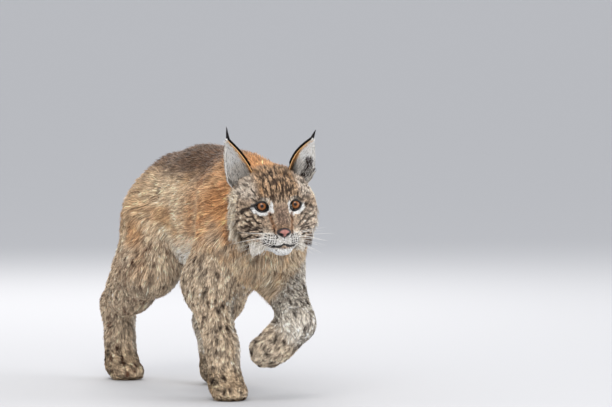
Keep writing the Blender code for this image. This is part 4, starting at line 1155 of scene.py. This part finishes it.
for side in ("left", "right"):
    sign = 1 if side == "left" else -1
    inner = Vector((sign * 0.034, 0.068, 0.048))
    outer = Vector((sign * 0.082, 0.082, 0.018))
    tip = Vector((0.087, 0.074, 0.117)) if side == "left" else Vector((-0.090, 0.074, 0.126))
    bulge = 0.009 if side == "left" else 0.004
    cup_depth = 0.015 if side == "left" else 0.018
    back = Vector((-sign * 0.25, 0.95, 0.10)).normalized()

    def ear_point(across, up):
        """A point of the cup at shares of the way from inner to outer edge and from base to tip."""
        swell = math.sin(math.pi * max(up, 0.0))
        a = inner.lerp(tip, up) + Vector((-sign * bulge, 0, 0.6 * bulge)) * swell
        b = outer.lerp(tip, up) + Vector((sign * 0.006, 0, 0)) * swell
        depth = cup_depth * max(1 - up, 0.0) ** 0.8 * math.sin(math.pi * across) ** 0.8
        tuck = max(0.16 - up, 0.0) / 0.26
        b = b + Vector((-sign * 0.014, 0.006, 0.0)) * tuck
        return head_place @ (a.lerp(b, across) + back * depth)

    build = bmesh.new()
    build.loops.layers.uv.new("OFBake")
    bmesh.ops.create_grid(build, x_segments=ear_columns, y_segments=ear_rows, size=1.0, calc_uvs=True)
    flat_place = [((v.co.x + 1) / 2, ear_foot + ear_height * (v.co.y + 1) / 2) for v in build.verts]
    for vertex, (across, up) in zip(build.verts, flat_place):
        vertex.co = ear_point(across, up)
    bmesh.ops.recalc_face_normals(build, faces=build.faces[:])
    behind = head_matrix @ back
    if sum(face.normal.dot(behind) for face in build.faces) < 0:
        bmesh.ops.reverse_faces(build, faces=build.faces[:])
    ear = object_of(build, "ear_skin_" + side)
    # Partly painted light: the pale skin inside is made lighter than its own colour to make up for the
    # shade in the cup; the buff rim at the inner edge is its own colour
    shade = np.tile(linear(240, 234, 226), (len(flat_place), 1))
    medial = np.array([a for a, _ in flat_place])
    shade = tint(shade, ramp(0.06, 0.02, medial), (226, 180, 124))
    write_colours(ear.data, shade)
    wall = ear.modifiers.new("Solidify", "SOLIDIFY")
    wall.thickness = 0.0013
    wall.offset = 0.0
    ear.data.materials.append(skin_material)
    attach(ear, "root")
    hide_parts("ear_" + side)

    def plant(count, width_share, height_share, towards, size, width, dye, lift, face_sign):
        """Adds one set of hairs, lying towards a direction of the head."""
        across = width_share[0] + (width_share[1] - width_share[0]) * chance.random(count)
        up = height_share[0] + (height_share[1] - height_share[0]) * chance.random(count) ** 1.15
        lying = (head_matrix @ Vector((sign * towards[0], towards[1], towards[2]))).normalized()
        for a, u in zip(across, up):
            root = ear_point(a, u)
            along_width = ear_point(min(a + 0.02, 1), u) - ear_point(max(a - 0.02, 0), u)
            along_height = ear_point(a, u + 0.02) - ear_point(a, u - 0.02)
            normal = along_width.cross(along_height).normalized()
            if normal.dot(behind) < 0:
                normal = -normal
            normal = normal * face_sign
            way = (lying - normal * lying.dot(normal) * 0.8).normalized()
            reach = size * (1.1 - 0.35 * max(u, 0.0)) * (0.75 + 0.5 * chance.random())
            flat = way.cross(normal).normalized()
            way = (way + flat * chance.normal(0, 0.16)).normalized()
            root = root + normal * 0.0008
            for level, (along, high) in enumerate(((0, 0), (0.36, 0.55), (0.70, 0.85), (1.0, 1.0))):
                point = root + way * reach * along + normal * reach * lift * high
                ear_hair["levels"][level].append(tuple(point))
            ear_hair["across"].append(tuple(flat))
            ear_hair["widths"].append(width)
            base = dye(side, a, u) * math.exp(chance.normal(0, 0.14))
            # Painted shade: each hair is darker towards its root and a little lighter at its tip
            for level, glow in enumerate((0.6, 0.85, 1.0, 1.08)):
                ear_hair["colours"][level].append(np.clip(base * glow, 0.002, 0.95))
            ear_hair["uv"].append((a, np.clip((u - ear_foot) / ear_height, 0, 1)))

    for hair_set in hair_sets:
        plant(*hair_set)
    # The tuft: stiff hairs from the upper edge that close on one line above the tip
    axis = (head_matrix @ (tip - (inner + outer) / 2)).normalized()
    tuft_foot = head_place @ (tip + ((inner + outer) / 2 - tip) * 0.03)
    tuft_lean = head_matrix @ Vector((0.42 if side == "left" else 0.10, 0.06, 1.0))
    tuft_way = (axis * 0.25 + tuft_lean * 0.75).normalized()
    tuft_length = 0.024 if side == "left" else 0.029
    tuft_hairs = 300
    for _ in range(tuft_hairs):
        drop = chance.random() ** 1.6
        across = np.clip(0.35 + chance.normal(0, 0.22), 0.03, 0.97)
        spot_root = ear_point(across, 0.98 - 0.16 * drop)
        way = (tuft_way + Vector(chance.normal(0, 0.03, 3))).normalized()
        reach = tuft_length * (0.35 + 0.65 * chance.random() ** 1.5)
        flat = way.cross(head_matrix @ Vector((0, -1, 0))).normalized()
        bend = head_matrix @ Vector((0.05, 0.10, 0))
        for level, along in enumerate((0.0, 0.35, 0.70, 1.0)):
            line = tuft_foot + tuft_way * reach * along + Vector(chance.normal(0, 0.0004, 3))
            free = spot_root + way * reach * along + bend * reach * along**2
            point = free.lerp(line, (0.0, 0.45, 0.70, 0.85)[level])
            ear_hair["levels"][level].append(tuple(point))
            ear_hair["colours"][level].append(linear(20, 17, 17) * (0.8 + 0.6 * chance.random()))
        ear_hair["across"].append(tuple(flat))
        ear_hair["widths"].append(0.0006)
        ear_hair["uv"].append((0.5, 0.97))
rows_used = (0, 2, 3)
blades(
    "coat_ears", [np.array(ear_hair["levels"][row]) for row in rows_used], np.array(ear_hair["across"]),
    np.array(ear_hair["widths"]), [np.array(ear_hair["colours"][row]) for row in rows_used],
    np.array(ear_hair["uv"]),
)

# Whiskers
# Long pale bristles from the dotted pads on both sides of the nose, thick at the root.
bristle, tree, shader = plain_shader("whisker", 0.35)
shader.inputs["Base Color"].default_value = (*linear(236, 232, 224), 1.0)
whisker_rows = ((0, -0.0450, 3), (1, -0.0500, 4), (2, -0.0555, 4), (3, -0.0605, 3))
whisker_roots = [
    (sign, row, column, 0.020 + 0.0050 * column, height)
    for sign in (-1, 1) for row, height, columns in whisker_rows for column in range(columns)
]
sides = 4
rings = 7
root_thickness = 0.00038
build = bmesh.new()
for sign, row, column, across, height in whisker_roots:
    aim = head_place @ Vector((sign * across, -0.048 + 0.3 * across, height))
    root, normal, _, _ = outline_tree.find_nearest(aim - Vector(face_drop * head_up))
    out = head_matrix @ Vector((sign, 0.10 + 0.12 * column, 0.10 - 0.16 * row))
    out = (out + normal * 0.25).normalized()
    out = (out + Vector(chance.normal(0, 0.06, 3))).normalized()
    droop = head_matrix @ Vector((sign * 0.1, 0.30, -0.25))
    reach = 0.040 + 0.008 * column + 0.010 * chance.random()
    before = None
    for number in range(rings):
        along = number / (rings - 1)
        centre = root + out * reach * along + droop * reach * along**2 * 0.6
        thick = root_thickness * (1 - 0.9 * along)
        turn = out.to_track_quat("Z", "Y").to_matrix().to_4x4()
        circle = bmesh.ops.create_circle(
            build, segments=sides, radius=thick, cap_ends=number in (0, rings - 1),
            matrix=Matrix.Translation(centre) @ turn,
        )["verts"]
        edges = list({e for v in circle for e in v.link_edges})
        if before is not None:
            bmesh.ops.bridge_loops(build, edges=before + edges)
        before = edges
bmesh.ops.recalc_face_normals(build, faces=build.faces[:])
whiskers = object_of(build, "whiskers")
whiskers.data.materials.append(bristle)
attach(whiskers, "root")

# Floor, light and camera
# A pale studio floor under three broad soft lamps, and the low, long view of the whole animal.
floor_material, tree, shader = plain_shader("studio_floor", 0.9, 0.1)
shader.inputs["Base Color"].default_value = (0.50, 0.50, 0.51, 1.0)
floor_half = 150.0
build = bmesh.new()
bmesh.ops.create_grid(build, x_segments=1, y_segments=1, size=floor_half)
floor = object_of(build, "studio_ground")
floor.data.materials.append(floor_material)
world = bpy.data.worlds.new("studio")
world.use_nodes = True
world.node_tree.nodes["Background"].inputs["Color"].default_value = (0.88, 0.90, 0.94, 1.0)
world.node_tree.nodes["Background"].inputs["Strength"].default_value = 1.05
bpy.context.scene.world = world
# Name, place, size in metres, power in watts and colour of each lamp
lamps = (
    ("key", (-1.8, -3.4, 3.2), 2.4, 120.0, (1.0, 0.97, 0.93)),
    ("fill", (3.0, -2.6, 1.6), 2.6, 80.0, (0.96, 0.98, 1.0)),
    ("rim", (0.6, 3.0, 2.6), 2.0, 80.0, (1.0, 0.98, 0.96)),
)
lit_point = Vector((0, 0, 0.28))
for name, place, size, power, colour in lamps:
    lamp = bpy.data.lights.new(name, "AREA")
    lamp.size = size
    lamp.energy = power
    lamp.color = colour
    holder = placed(lamp, name)
    holder.location = place
    aim = lit_point - Vector(place)
    holder.rotation_euler = aim.to_track_quat("-Z", "Y").to_euler()
azimuth = math.radians(-23.0)
elevation = math.radians(3.0)
view_distance = 10.2
aim_right = 0.0548
aim_up = 0.0037
backward = Vector((
    math.sin(azimuth) * math.cos(elevation), -math.cos(azimuth) * math.cos(elevation), math.sin(elevation)
))
rightward = Vector((math.cos(azimuth), math.sin(azimuth), 0.0))
upward = backward.cross(rightward)
aimed = eye_line - head_matrix @ Vector((0, 0.002, 0))
aimed = aimed + rightward * aim_right + upward * aim_up
lens = bpy.data.cameras.new("camera")
lens.lens = 300.0
lens.sensor_width = 36.0
lens.clip_end = 400.0
camera = placed(lens, "camera")
camera.location = aimed + backward * view_distance
camera.rotation_euler = (-backward).to_track_quat("-Z", "Y").to_euler()
bpy.context.scene.camera = camera
bpy.context.scene.view_settings.view_transform = "Standard"
